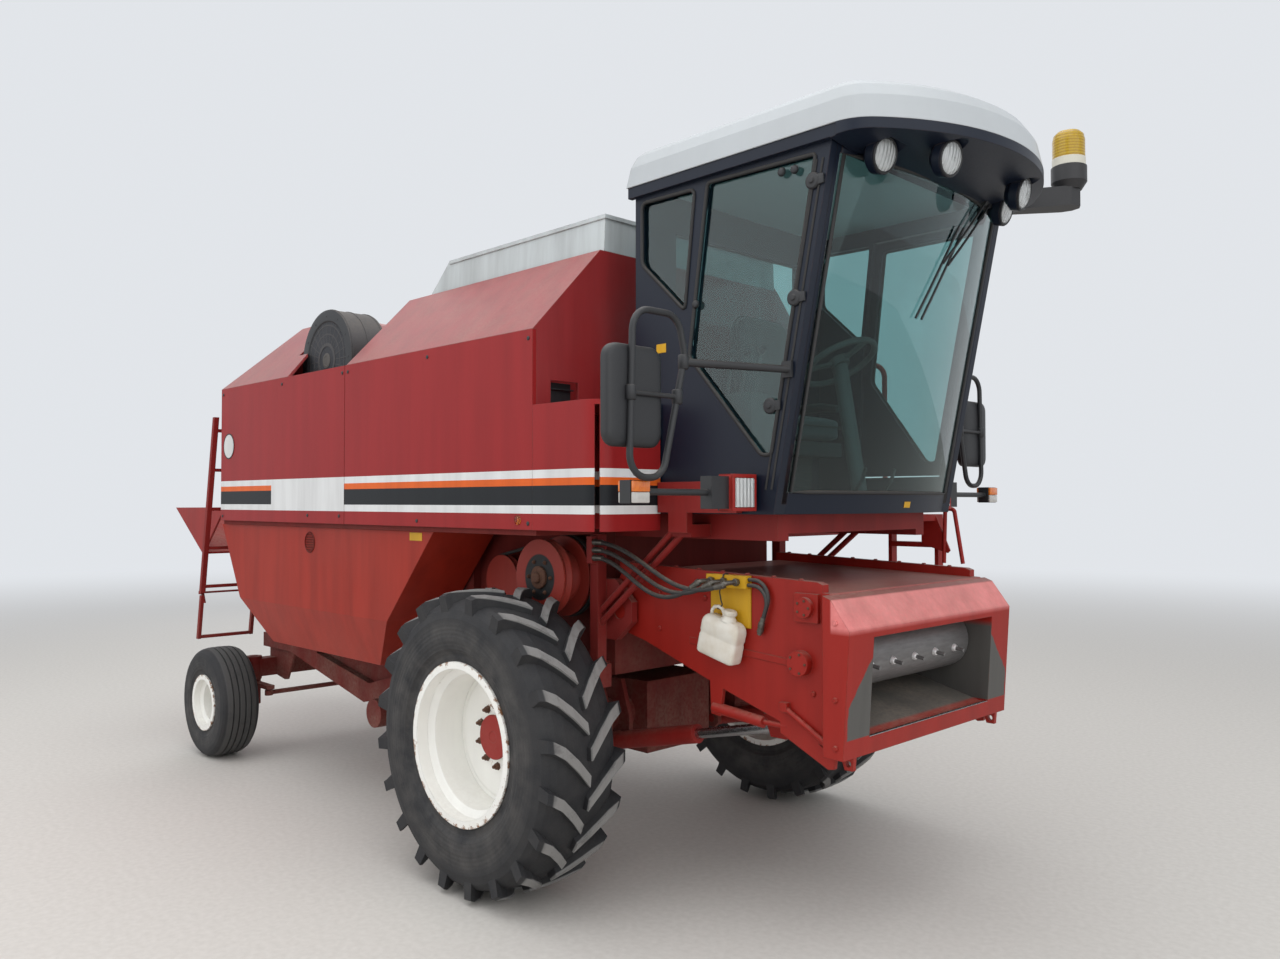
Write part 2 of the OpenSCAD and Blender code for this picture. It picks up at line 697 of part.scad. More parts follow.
module cab_shell() {
  color(black) placed() {
    for (z = [2300, 3200]) along_post(z) {
      cylinder(h = 30, r = 10);
      cylinder(h = 60, r = 5);
      block([-6, -hinge_out + 1, 0], [44, -3, 30]);
      block([8, -hinge_out - 2, 0], [44, -3, 30]);
    }
    difference() {
    union() {
      difference() {
        cab_volume(0);
        cab_volume(cab_wall);
        // Open front between the posts
        block([screen_x(cab_floor_z) - 160, -screen_half_w, sill_top_z],
          [2200, screen_half_w, cab_top_z - 90]);
      }
      // Bowed sill below the windscreen and header above it
      difference() {
        bow_volume(0, cab_floor_z, sill_top_z, screen_half_w);
        cab_volume(0);
        bow_volume(-cab_wall, cab_floor_z + cab_wall, sill_top_z + cut, screen_half_w - cab_wall);
      }
      difference() {
        bow_volume(0, cab_top_z - 90, cab_top_z, screen_half_w);
        cab_volume(0);
        bow_volume(-cab_wall, cab_top_z - 91, cab_top_z + 1, screen_half_w - cab_wall);
      }
    }
    // Side windows, the door on the left and the rear window
    side_plate(quarter_pane, -half_cab - cut, -half_cab + cab_wall + cut);
    side_plate(quarter_pane, half_cab - cab_wall - cut, half_cab + cut);
    side_plate(door_pane, -half_cab - cut, -half_cab + cab_wall + cut);
    side_plate(door_opening(0), half_cab - cab_wall - cut, half_cab + cut);
    block([cab_rear_x - cut, -520, 2700], [cab_rear_x + cab_wall + cut, 520, 3330]);
    }
  }
}

// Door on the left, hinged on the leaning front post
door_gap = 8;
door_top_z = 3440;
function door_opening(inset) = [[1042 + inset, door_top_z - inset],
  [screen_x(door_top_z) - post_w - inset, door_top_z - inset],
  [screen_x(door_sill_z) - post_w - inset, door_sill_z + inset], [935 + inset, door_sill_z + inset],
  [960 + inset, 2700]];

module cab_door() {
  color(black) placed() {
    difference() {
      side_plate(door_opening(door_gap), half_cab - 32, half_cab);
      side_plate(door_pane_left, half_cab - 40, half_cab + cut);
    }
    for (z = [2300, 3200]) along_post(z) difference() {
      union() {
        translate([0, 0, 30 + seat_gap]) cylinder(h = 30 - seat_gap, r = 10);
        block([-44, -hinge_out + 1, 30 + seat_gap], [6, -3, 60]);
        block([-44, -hinge_out - 2, 30 + seat_gap], [-8, -3, 60]);
      }
      translate([0, 0, 30]) cylinder(h = 40, r = 5 + pin_gap);
    }
  }
}

door_pane_left = rounded([[1095, 3385], [1650, 3385], [1410, 2170], [1350, 2170], [1010, 2640]], 24);

module cab_door_glass() {
  color(glass) placed() side_plate(door_pane_left, half_cab - 20, half_cab - 20 + glass_t);
}

module windscreen() {
  color(glass) placed() difference() {
    bow_volume(0, sill_top_z, cab_top_z - 90, screen_half_w);
    bow_volume(-glass_t, sill_top_z - cut, cab_top_z - 89, screen_half_w + cut);
  }
}

// Fixed panes of the sides and the rear
module cab_panes() {
  pane_y = half_cab - 24;
  color(glass) placed() {
    both_sides() side_plate(quarter_pane, pane_y, pane_y + glass_t);
    side_plate(door_pane, -pane_y - glass_t, -pane_y);
    block([cab_rear_x + 18, -520, 2700], [cab_rear_x + 18 + glass_t, 520, 3330]);
  }
}

// Plan of the roof: straight sides, a round nose and rounded corners between them
module roof_plan(grow) {
  corner_r = 200;
  corner_y = roof_half_w - corner_r;
  corner_x = roof_nose_x + sqrt(pow(roof_nose_r - corner_r, 2) - corner_y * corner_y);
  nose = roof_nose_r + grow;
  far = [1.5 * (corner_x - roof_nose_x), 1.5 * corner_y];
  translate([roof_rear_x - grow, -roof_half_w - grow])
    square([corner_x - roof_rear_x + grow, 2 * (roof_half_w + grow)]);
  for (side = [-1, 1]) translate([corner_x, side * corner_y]) circle(corner_r + grow, $fn = 96);
  intersection() {
    translate([roof_nose_x, 0]) circle(nose, $fn = 240);
    translate([roof_nose_x, 0]) polygon([[0, 0], [far[0], -far[1]], [nose + 500, -far[1]],
      [nose + 500, far[1]], [far[0], far[1]]]);
  }
}

module roof_layer(z, grow, back) {
  translate([-back, 0, z]) linear_extrude(1) roof_plan(grow);
}

// White roof cap: sides that lean in to a crown edge, and a nearly flat top
module roof_cap() {
  // Each layer: height, change of outline and how far its nose lies back
  layers = [[0, 0, 0], [roof_h * 0.5, -18, 4], [roof_h * 0.78, -46, 14], [roof_h * 0.93, -80, 26],
    [roof_h, -130, 40]];
  color(white) placed() hull() for (layer = layers)
    roof_layer(cab_top_z + max(layer[0] - 1, 0), layer[1], layer[2]);
}

// Work lamps in bowls under the visor; each row: x, y, z and how far it looks aside
work_lamp_places = [[2098, 349, cab_top_z - 109, 6], [1911, 564, cab_top_z - 101, 6]];
work_lamp_r = 71;
bowl_r = work_lamp_r + 9;
module at_work_lamps() {
  for (p = work_lamp_places) translate([p[0], p[1], p[2]]) rotate([0, 105, p[3]]) children();
}

module work_lamps() {
  color(white) placed() both_sides() at_work_lamps() rotate_extrude()
    polygon([[0, -30], [work_lamp_r, -30], [work_lamp_r, -5], [work_lamp_r * 0.7, 2], [0, 2]]);
}

// Black visor around the top of the cab: an edge band and a shallow underside
module roof_visor() {
  visor_nose_r = visor_front_x - roof_nose_x;
  band = 45;
  side_drop = 54;
  grow = visor_nose_r - roof_nose_r;
  color(black) placed() difference() {
    union() {
    both_sides() at_work_lamps()
      rotate_extrude() polygon([[0, -74], [48, -74], [bowl_r, -40], [bowl_r, 0], [0, 0]]);
    intersection() {
      union() {
        translate([roof_nose_x, 0, cab_top_z - band]) cylinder(h = band, r = visor_nose_r, $fn = 180);
        translate([roof_nose_x, 0, cab_top_z - 115])
          cylinder(h = 115 - band, r1 = visor_nose_r - 430, r2 = visor_nose_r, $fn = 180);
        cross_bar([[-half_cab - 6, cab_top_z - side_drop], [half_cab + 6, cab_top_z - side_drop],
          [roof_half_w - 6, cab_top_z - 30], [roof_half_w - 6, cab_top_z],
          [-roof_half_w + 6, cab_top_z], [-roof_half_w + 6, cab_top_z - 30]], roof_rear_x, roof_nose_x + 700);
      }
      translate([0, 0, cab_top_z - 200]) linear_extrude(200) union() {
        roof_plan(-6);
        intersection() {
          roof_plan(grow);
          translate([roof_nose_x + 700, -roof_half_w]) square([1000, 2 * roof_half_w]);
        }
      }
    }
    }
    cab_volume(0);
    bow_volume(1.5, cab_top_z - 400, cab_top_z + cut, screen_half_w + 2);
    // Nothing stands below the cab's side posts, where the door swings
    block([0, -1000, 0], [screen_x(cab_top_z), 1000, cab_top_z - side_drop]);
    block([0, -half_cab, 0], [screen_x(cab_top_z), half_cab, cab_top_z + cut]);
    both_sides() at_work_lamps() {
      translate([0, 0, -30]) cylinder(h = 40, r = work_lamp_r + seat_gap);
      cylinder(h = 58, r = bowl_r);
    }
  }
}

// Seat on its pedestal
module operator_seat() {
  floor_z = cab_floor_z + cab_wall;
  color(black) placed() {
    block([820, -140, floor_z], [1080, 140, floor_z + 330]);
    block([780, -240, floor_z + 330], [1180, 240, floor_z + 450]);
    side_plate([[780, floor_z + 450], [900, floor_z + 450], [830, floor_z + 1000], [730, floor_z + 1000]],
      -230, 230);
  }
}

// Steering column with its wheel, and the side console with levers
module cab_controls() {
  floor_z = cab_floor_z + cab_wall;
  color(black) placed() {
    block([1360, -70, floor_z], [1480, 70, floor_z + 30]);
    rod([1420, 0, floor_z + 12], [1300, 0, floor_z + 700], 38);
    translate([1298, 0, floor_z + 712]) rotate([0, -30, 0]) {
      rotate_extrude() translate([190, 0]) circle(15, $fn = 16);
      for (a = [0, 120, 240]) rotate([0, 0, a]) translate([0, -14, -8]) cube([190, 28, 16]);
      cylinder(h = 40, r = 50, center = true);
    }
    block([800, -640, floor_z], [1250, -380, floor_z + 520]);
    for (x = [1000, 1090, 1180]) rod([x, -520, floor_z + 520], [x + 40, -520, floor_z + 720], 10);
  }
}

// Feeder house with its header frame; hollow through from mouth to rear
module feeder_house() {
  color(red) placed() {
    difference() {
      union() {
        side_plate([[feeder_pivot_x - 95, 1360], [feeder_pivot_x - 90, 1500], [feeder_pivot_x - 30, 1602],
          [1700, 1565], [1760, 1500], [1760, 905], [1700, 905], [1109, 1085], [600, 1257],
          [feeder_pivot_x - 40, 1300]], -half_feeder, half_feeder);
        both_sides() {
          // Raised edge along the top, pressed rib along the side
          side_plate([[410, 1590], [410, 1649], [1640, 1610], [1668, 1600], [1668, 1555]],
            half_feeder - 45, half_feeder);
          side_plate([[900, 1277], [900, 1307], [1500, 1265], [1500, 1235]], half_feeder - cut,
            half_feeder + 4);
          // Header lock: cylinder on its bracket, link plate and the rod beside it
          side_plate([[1025, 1160], [1115, 1140], [1090, 955], [1035, 960]], half_feeder - 22, half_feeder);
          rod([1045, half_feeder - 11, 991], [1341, half_feeder - 11, 964], 26);
          rod([1330, half_feeder - 11, 965], [1475, half_feeder - 11, 966], 12);
          side_plate([[1440, 1020], [1520, 1000], [1728, 868], [1722, 826], [1692, 820], [1440, 935]],
            half_feeder - 22, half_feeder);
          rod([1473, half_feeder + 14, 1054], [1712, half_feeder + 14, 921], 12);
          block([1452, half_feeder - cut, 1034], [1494, half_feeder + 26, 1076]);
        }
        side_plate([[1700, 1560], [1742, 1544], [1835, 1419], [1801, 882], [1700, 882]],
          -mouth_frame_w / 2, mouth_frame_w / 2);
        both_sides() cross_shaft(feeder_pivot_x, feeder_pivot_z, 40, half_feeder - cut, half_feeder + 45);
        // Lugs for the lift rods' eyes
        both_sides() for (y = [lift_y - 62, lift_y + 34])
          side_plate([[rod_eye_x - 140, 1110], [rod_eye_x - 45, rod_eye_z - 45],
            [rod_eye_x + 45, rod_eye_z - 45], [rod_eye_x + 140, 1020]], y, y + 28);
        both_sides() cross_shaft(rod_eye_x, rod_eye_z, 16, lift_y - 62, lift_y + 62);
        // Lugs under the mouth for the header's lock pins
        both_sides() difference() {
          side_plate([[1735, 884], [1800, 884], [1795, 826], [1755, 826]], lock_y - 12, lock_y + 12);
          cross_shaft(lock_x, lock_z, lock_hole_r, lock_y - 13, lock_y + 13);
        }
      }
      side_plate([[1900, 955], [1900, 1381], [1730, 1381], [1730, 1525], [feeder_pivot_x + 20, 1562],
        [feeder_pivot_x - 120, 1480], [feeder_pivot_x - 120, 1370], [700, 1262], [1150, 1110], [1760, 955]],
        -half_mouth, half_mouth);
      both_sides() cross_shaft(drum_x, drum_z, 30 + pin_gap, half_mouth - cut, half_feeder + cut);
    }
    // Box bracket with a round bearing cap on the right side
    block([drum_x - 30, -half_feeder - 18, drum_z + 178], [drum_x + 95, -half_feeder, drum_z + 303]);
    cross_shaft(drum_x + 30, drum_z + 243, 45, -half_feeder - 40, -half_feeder);
    both_sides() difference() {
      cross_shaft(drum_x, drum_z, 55, half_feeder, half_feeder + 40);
      cross_shaft(drum_x, drum_z, 30 + pin_gap, half_feeder - cut, half_feeder + 30);
    }
  }
}

// Drum in the mouth with its fingers, each out of a round guide; it turns about its shaft
module feeder_drum() {
  finger_rows = 3;
  fingers = 5;
  pitch = 190;
  color(steel) placed() {
    cross_shaft(drum_x, drum_z, drum_r, -half_mouth + running_gap, half_mouth - running_gap);
    cross_shaft(drum_x, drum_z, 30, -half_feeder - 25, half_feeder + 25);
    for (row = [0 : finger_rows - 1], i = [0 : fingers - 1])
      translate([drum_x, (i - (fingers - 1) / 2) * pitch, drum_z])
        rotate([0, row * 360 / finger_rows + 10, 0])
        translate([drum_r, 0, 0]) {
          rotate([0, 90, 0]) rotate_extrude() polygon([[0, -8], [18, -8], [18, 4], [13, 14], [0, 14]]);
          translate([-10, 0, 0]) rotate([0, 90, 0]) cylinder(h = finger_len + 10, r = 9, $fn = 24);
        }
  }
}

// Lift cylinder: barrel from its foot pin, rod out to the feeder's lugs
lift_dx = rod_eye_x - lift_foot_x;
lift_dz = rod_eye_z - lift_foot_z;
lift_len = sqrt(lift_dx * lift_dx + lift_dz * lift_dz);
lift_barrel_len = 640;
module along_lift(y) {
  translate([lift_foot_x, y, lift_foot_z]) rotate([0, -atan2(lift_dz, lift_dx), 0]) children();
}

module lift_barrel(y) {
  color(red) placed() along_lift(y) {
    difference() {
      union() {
        translate([30, 0, 0]) rotate([0, 90, 0]) cylinder(h = lift_barrel_len - 30, r = lift_barrel_r);
        rotate([90, 0, 0]) cylinder(h = 100, r = 48, center = true);
      }
      translate([150, 0, 0]) rotate([0, 90, 0]) cylinder(h = lift_barrel_len, r = lift_rod_r + pin_gap);
    }
    rotate([90, 0, 0]) cylinder(h = 175, r = 25, center = true);
  }
}

module lift_rod(y) {
  color(steel) placed() along_lift(y) difference() {
    union() {
      translate([420, 0, 0]) rotate([0, 90, 0]) cylinder(h = lift_len - 450, r = lift_rod_r);
      translate([lift_len, 0, 0]) rotate([90, 0, 0]) cylinder(h = 50, r = 45, center = true);
    }
    translate([lift_len, 0, 0]) rotate([90, 0, 0]) cylinder(h = 60, r = 26, center = true);
  }
}

// Rear axle beam, with a boss at each end for its kingpin
module rear_axle() {
  x = -wheelbase;
  color(dark_red) placed() {
    difference() {
      union() {
        block([x - 55, -kingpin_y, beam_z - 70], [x + 55, kingpin_y, beam_z + 70]);
        both_sides() translate([x, kingpin_y, beam_z - 90]) cylinder(h = 180, r = 62);
      }
      both_sides() translate([x, kingpin_y, beam_z - 120]) cylinder(h = 240, r = 30 + pin_gap);
    }
    // Stay plates up to the chassis rails
    both_sides() side_plate([[x - 62, 790], [x + 378, 790], [x + 250, 556], [x + 200, 550], [x - 62, 590]],
      housing_half_w, housing_half_w + 16);
  }
}

// Knuckle: kingpin, post, stub shaft and steering arm
module knuckle(out) {
  x = -wheelbase;
  z = rear_tyre_r;
  hub_face = rear_track / 2 - rear_hub_in;
  color(dark_red) placed() mirror([0, out > 0 ? 0 : 1, 0]) {
    translate([x, kingpin_y, z - 60]) cylinder(h = beam_z - 90 - seat_gap - z + 60, r = 55);
    translate([x, kingpin_y, beam_z - 100]) cylinder(h = 195, r = 30);
    cross_shaft(x, z, 50, kingpin_y, hub_face - running_gap);
    cross_shaft(x, z, rear_stub_r, hub_face - running_gap, hub_face + 50);
    difference() {
      block([x, kingpin_y - 30, rod_z - 15], [x + arm_reach + 35, kingpin_y + 30, rod_z + 15]);
      translate([x + arm_reach, kingpin_y, rod_z - 30]) cylinder(h = 60, r = 14 + pin_gap);
    }
  }
}

// Track rod between the two steering arms, below them
module track_rod() {
  x = -wheelbase + arm_reach;
  color(dark_red) placed() {
    cross_shaft(x, rod_z - 42, 18, -kingpin_y + 20, kingpin_y - 20);
    both_sides() {
      translate([x, kingpin_y, rod_z - 62]) cylinder(h = 40, r = 30);
      translate([x, kingpin_y, rod_z - 30]) cylinder(h = 42, r = 14);
    }
  }
}

// Platform beside the door, its ladder and hand rails, on the left
module side_platform() {
  z = cab_floor_z - 20;
  y0 = half_cab + 12;
  y1 = 1330;
  front_x = 1140;
  color(red) placed() {
    block([360, y0, z - 40], [front_x, y1, z]);
    block([tank_front_x + 30, post_y - 20, deck_z - 50], [tank_front_x + 90, y1, z - 40]);
    block([880, post_y + 20, deck_z], [940, y1, z - 40]);
    bent_tube([[400, y1 - 25, z], [400, y1 - 25, z + 950], [760, y1 - 25, z + 950], [760, y1 - 25, z]],
      rail_r + 2, 90);
    rod([400, y1 - 25, z + 480], [760, y1 - 25, z + 480], rail_r);
    // Ladder down from the platform's front
    for (x = [800, front_x - 24])
      side_plate([[x, z - 40], [x + 24, z - 40], [x + 24, 620], [x, 620]], y1 - 60, y1);
    for (i = [0 : 4]) block([824, y1 - 80, 640 + i * 260], [front_x - 24, y1, 670 + i * 260]);
    // Gusset and the hairpin grip at the platform's front corner
    side_plate([[1044, z - 10], [front_x, z - 10], [1230, 1665], [1215, 1650], [1044, 1700]], 1244, 1256);
    bent_tube([[1189, 1250, 1590], [1199, 1250, 1912], [1256, 1250, 1912], [1310, 1250, 1590]], 12, 24);
  }
}

// Mirror on its tube frame; out is 1 on the left and -1 on the right
module mirror_set(out) {
  x = out > 0 ? 1270 : 1400;
  inner = 1255;
  outer = 1570;
  loop = [[x, inner, 2555], [x, inner + 40, 2712], [x, outer - 20, 2712], [x, outer, 2052],
    [x, inner + 130, 2052]];
  color(black) placed() mirror([0, out > 0 ? 0 : 1, 0]) {
    bent_tube(loop, rail_r, 45, closed = true);
    rod([x, inner + 8, 2525], [screen_x(2525) - 35, half_cab + 12, 2525], rail_r + 3);
    block([screen_x(2525) - 65, half_cab + seat_gap, 2490], [screen_x(2525) - 15, half_cab + 18, 2560]);
    rod([x, inner + 45, 2380], [x, outer - 8, 2380], 10);
    translate([x - 34, 1520, 2370]) rotate([90, 0, 90]) linear_extrude(52, center = true)
      rounded_rect(300, 400, 38);
  }
}

// Lamps on their bar beside the cab: bracket, head lamp, box, arm and flashing lamp
module lamp_bar(out) {
  x = 1345;
  z = 1996;
  y0 = half_cab + seat_gap;
  color(black) placed() mirror([0, out > 0 ? 0 : 1, 0]) {
    block([x - 15, y0, z - 70], [x + 30, y0 + 20, z + 70]);
    block([x - 35, y0 + 20, z - 78], [x + 40, y0 + 176, z + 78]);
    block([x - 35, y0 + 176, z - 70], [x + 30, y0 + 290, z + 70]);
    rod([x, y0 + 289, z], [x, 1442, z], rail_r);
    block([x - 30, 1440, z - 46], [x + 30, 1540, z + 46]);
  }
}

// Flashing beacon in its dish, on a moulded arm from the roof's left edge
module beacon() {
  x = 2050;
  y = 1000;
  z = cab_top_z + 80;
  edge = roof_half_w + seat_gap;
  color(yellow) placed() {
    block([1700, edge - 6, cab_top_z - 42], [1815, edge + 30, cab_top_z - 2]);
    translate([0, 0, cab_top_z - 30]) linear_extrude(100)
      polygon([[1700, edge], [1822, edge], [2085, 945], [2108, 1000], [2085, 1045], [2040, 1062],
        [1985, 1050], [1700, edge + 40]]);
    translate([x, y, z]) rotate_extrude()
      polygon([[0, -20], [62, -20], [88, 20], [88, 100], [82, 104], [82, 145], [80, 145], [80, 240],
        [74, 268], [58, 285], [34, 293], [0, 293]]);
  }
}

// Ladder at the right rear corner, fixed part
module rear_ladder() {
  color(dark_red) placed() {
    for (y = [ladder_outer_y, ladder_inner_y])
      side_plate([[ladder_x(2600) - stile_half, 2600], [ladder_x(2600) + stile_half, 2600],
        [ladder_x(ladder_break_z) + stile_half, ladder_break_z],
        [ladder_x(ladder_break_z) - stile_half, ladder_break_z]], y - stile_half, y + stile_half);
    for (z = [1300, 1600, 1900, 2200, 2500])
      translate([ladder_x(z), (ladder_outer_y + ladder_inner_y) / 2, z])
        cube([30, ladder_inner_y - ladder_outer_y, 24], center = true);
    // Hinge pin of the lower step, between two lugs
    cross_shaft(ladder_hinge_x, ladder_break_z, ladder_pin_r, ladder_outer_y, ladder_inner_y);
    for (y = [ladder_outer_y, ladder_inner_y])
      block([ladder_hinge_x - 12, y - 8, ladder_break_z - 12],
        [ladder_x(ladder_break_z), y + 8, ladder_break_z + 12]);
    // Brackets to the body's rear wall
    for (z = [1950, 2540])
      block([ladder_x(z), ladder_inner_y - 18, z - 20], [body_rear_x, ladder_inner_y + 18, z + 20]);
  }
}

// Lower step that folds up behind the ladder about the pin
module rear_ladder_step() {
  top_z = ladder_break_z - 18;
  low_z = 890;
  step_z = 905;
  lug_in = 10;
  color(dark_red) placed() {
    for (y = [ladder_outer_y, ladder_inner_y])
      side_plate([[ladder_x(top_z) - stile_half, top_z], [ladder_x(top_z) + stile_half, top_z],
        [ladder_x(low_z) + stile_half, low_z], [ladder_x(low_z) - stile_half, low_z]], y - 12, y + 12);
    for (side = [[ladder_outer_y, 1], [ladder_inner_y, -1]]) {
      y0 = side[0] + side[1] * lug_in;
      y1 = y0 + side[1] * 14;
      difference() {
        side_plate([[ladder_hinge_x - 13, ladder_break_z + 12], [ladder_hinge_x + 13, ladder_break_z + 12],
          [ladder_x(top_z) + stile_half, top_z - 60], [ladder_x(top_z) - stile_half, top_z - 60]],
          min(y0, y1), max(y0, y1));
        cross_shaft(ladder_hinge_x, ladder_break_z, ladder_pin_r + pin_gap, min(y0, y1) - cut,
          max(y0, y1) + cut);
      }
    }
    translate([ladder_x(step_z), (ladder_outer_y + ladder_inner_y) / 2, step_z])
      cube([30, ladder_inner_y - ladder_outer_y, 24], center = true);
  }
}

// Straw outlet behind the body, with the eyes of the deflector's hinge
deflector_eyes = [-560, 0, 560];
module straw_hood() {
  top = deflector_hinge_z - 20;
  color(red) placed() difference() {
    union() {
      side_plate([[body_rear_x, 1100], [body_rear_x, top], [hood_rear_x, top], [hood_rear_x, 1500]],
        -housing_half_w, housing_half_w);
      for (y = deflector_eyes) {
        cross_shaft(deflector_hinge_x, deflector_hinge_z, 16, y - 30, y + 30);
        block([deflector_hinge_x - 16, y - 30, top - 5],
          [deflector_hinge_x + 16, y + 30, deflector_hinge_z]);
      }
    }
    side_plate([[body_rear_x - 20, 1060], [body_rear_x - 20, top - 20], [hood_rear_x - cut, top - 20],
      [hood_rear_x - cut, 1460]], -housing_half_w + 20, housing_half_w - 20);
    cross_shaft(deflector_hinge_x, deflector_hinge_z, 8 + pin_gap, -600, 600);
  }
}

// Straw deflector, hinged at its front upper edge
module straw_deflector() {
  w = deflector_half_w;
  top = deflector_hinge_z + 8;
  sheet = 16;
  front_x = deflector_hinge_x + 10;
  low_x = deflector_tip_x + 599;
  color(red) placed() {
    both_sides() side_plate([[front_x, top], [deflector_tip_x, top], [low_x, 1532], [front_x, top - 16]],
      w - sheet, w);
    side_plate([[deflector_tip_x, top], [deflector_tip_x + 26, top], [low_x, 1548], [low_x, 1532]],
      -w + sheet, w - sheet);
    // Cross bar and the hinge pin in its own eyes
    block([deflector_hinge_x - 90, -w + sheet, top - 22], [deflector_hinge_x - 50, w - sheet, top]);
    cross_shaft(deflector_hinge_x, deflector_hinge_z, 8, deflector_eyes[0] - 60, deflector_eyes[2] + 60);
    for (y = deflector_eyes, d = [-1, 1]) translate([0, y + d * 42, 0]) {
      cross_shaft(deflector_hinge_x, deflector_hinge_z, 12, -10, 10);
      block([deflector_hinge_x - 60, -10, deflector_hinge_z - 6],
        [deflector_hinge_x, 10, deflector_hinge_z + 8]);
    }
  }
}

// Grooved drive pulleys on the right side below the panels
module drive_pulleys() {
  // Each row: x, z, radius, inner y, outer y
  table = [[50, 1560, 215, 700, 760], [50, 1560, 140, 760, 860], [50, 1560, 200, 860, 920],
    [-520, 1500, 150, 700, 740]];
  rim = 8;
  color(dark_red) placed() mirror([0, 1, 0]) for (p = table) {
    r = p[2];
    y0 = p[3];
    y1 = p[4];
    wheel_ring([[0, y0], [r, y0], [r, y0 + rim], [r - 16, (y0 + y1) / 2], [r, y1 - rim], [r, y1], [0, y1]],
      p[0], p[1]);
    cross_shaft(p[0], p[1], 40, housing_half_w, y0);
  }
}

// Upright of the unloading auger, up the left front of the tank
module auger_upright() {
  color(red) placed() {
    translate([auger_x, auger_y, panel_bottom_z]) cylinder(h = auger_z - 170 - panel_bottom_z, r = auger_r);
    translate([auger_x, auger_y, auger_z - 190]) cylinder(h = 20, r = auger_flange_r);
  }
}

// Swinging part of the unloading auger, folded back along the tank
module unloading_auger() {
  color(red) placed() {
    translate([auger_x, auger_y, auger_z - 170 + seat_gap]) cylinder(h = 20, r = auger_flange_r);
    difference() {
      union() {
        translate([auger_x, auger_y, auger_z - 150]) cylinder(h = 150 + auger_r, r = auger_r);
        translate([auger_x - auger_len, auger_y, auger_z]) rotate([0, 90, 0])
          cylinder(h = auger_len, r = auger_r - 2);
      }
      translate([auger_x - auger_len - cut, auger_y, auger_z]) rotate([0, 90, 0])
        cylinder(h = auger_len - 200, r = auger_r - 12);
    }
  }
}

// A hose that sags in an arc from a to b, in a plane of one Y
module sagging_hose(a, b, sag, r) {
  span = b - a;
  chord = norm(span);
  bend_r = (chord * chord / 4 + sag * sag) / (2 * sag);
  tilt = atan2(span[2], span[0]);
  half_angle = asin(chord / 2 / bend_r);
  translate((a + b) / 2) rotate([90, 0, 0]) rotate([0, 0, tilt]) translate([0, bend_r - sag, 0])
    rotate([0, 0, -90 - half_angle]) rotate_extrude(angle = 2 * half_angle, $fn = 96)
      translate([bend_r, 0]) circle(r, $fn = 20);
}

// Hoses from the bulkhead down to the coupler plate
module hydraulic_hoses() {
  hose_r = 11;
  y = -post_y - post_half - 18;
  color(black) placed() for (k = [0, 1, 2]) {
    foot = [tank_front_x + 20 + seat_gap, y, 1670 + k * 40];
    a = foot + [35, 0, 0];
    b = [1080 + k * 75, y, 1590];
    rod(foot, a + [12, 0, 0], hose_r + 4);
    sagging_hose(a, b, 130 - k * 35, hose_r);
    translate(b) sphere(hose_r * 1.1);
    cross_shaft(b[0], b[2], hose_r, y, -half_feeder - 40 - seat_gap);
  }
}

// Yellow plate and the coupler block on the feeder's right side
module coupler_plate() {
  color(yellow) placed() {
    block([1040, -half_feeder - 6, 1380], [1280, -half_feeder, 1560]);
    block([1040, -half_feeder - 40, 1560], [1280, -half_feeder, 1620]);
  }
}

// White plastic canister hung from the coupler block
module canister() {
  color(white) placed() translate([1120, -half_feeder - 6 - seat_gap - 42, 1236]) rotate([0, 14, 0]) {
    block([-112, -42, 0], [112, 42, 190]);
    translate([20, 0, 190]) cylinder(h = 46, r1 = 38, r2 = 28);
  }
}

front_axle();
chassis();
cab_frame();
threshing_body();
side_panel(1);  // side_panel_left
side_panel(-1);  // side_panel_right
corner_panel();
grain_tank();
tank_extension();
engine_hood();
engine();
air_duct();
rotary_screen();
lower_cover(1);  // lower_cover_left
lower_cover(-1);  // lower_cover_right
cab_shell();
roof_cap();
roof_visor();
windscreen();
cab_panes();
cab_door();
cab_door_glass();
operator_seat();
cab_controls();
feeder_house();
feeder_drum();
lift_barrel(lift_y);  // lift_barrel_left
lift_barrel(-lift_y);  // lift_barrel_right
lift_rod(lift_y);  // lift_rod_left
lift_rod(-lift_y);  // lift_rod_right
front_tyre(1);  // tyre_front_left
front_tyre(-1);  // tyre_front_right
front_rim(1);  // rim_front_left
front_rim(-1);  // rim_front_right
rear_tyre(1);  // tyre_rear_left
rear_tyre(-1);  // tyre_rear_right
rear_rim(1);  // rim_rear_left
rear_rim(-1);  // rim_rear_right
rear_axle();
knuckle(1);  // knuckle_left
knuckle(-1);  // knuckle_right
track_rod();
side_platform();
mirror_set(1);  // mirror_left
mirror_set(-1);  // mirror_right
lamp_bar(1);  // lamp_bar_left
lamp_bar(-1);  // lamp_bar_right
work_lamps();
beacon();
rear_ladder();
rear_ladder_step();
straw_hood();
straw_deflector();
drive_pulleys();
auger_upright();
unloading_auger();
hydraulic_hoses();
coupler_plate();
canister();
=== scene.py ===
# %% [markdown]
# # A combine harvester in a plain studio
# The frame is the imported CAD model: every piece already has its true size, its place and the body it moves
# with. This lesson dresses it with paint, rubber, glass and small fittings. We load it first and keep its
# box, so that we can tell at the end whether anything we added sticks out of the real machine's size.

# %% Load the machine
import math

import bmesh
import bpy
from mathutils import Matrix, Vector


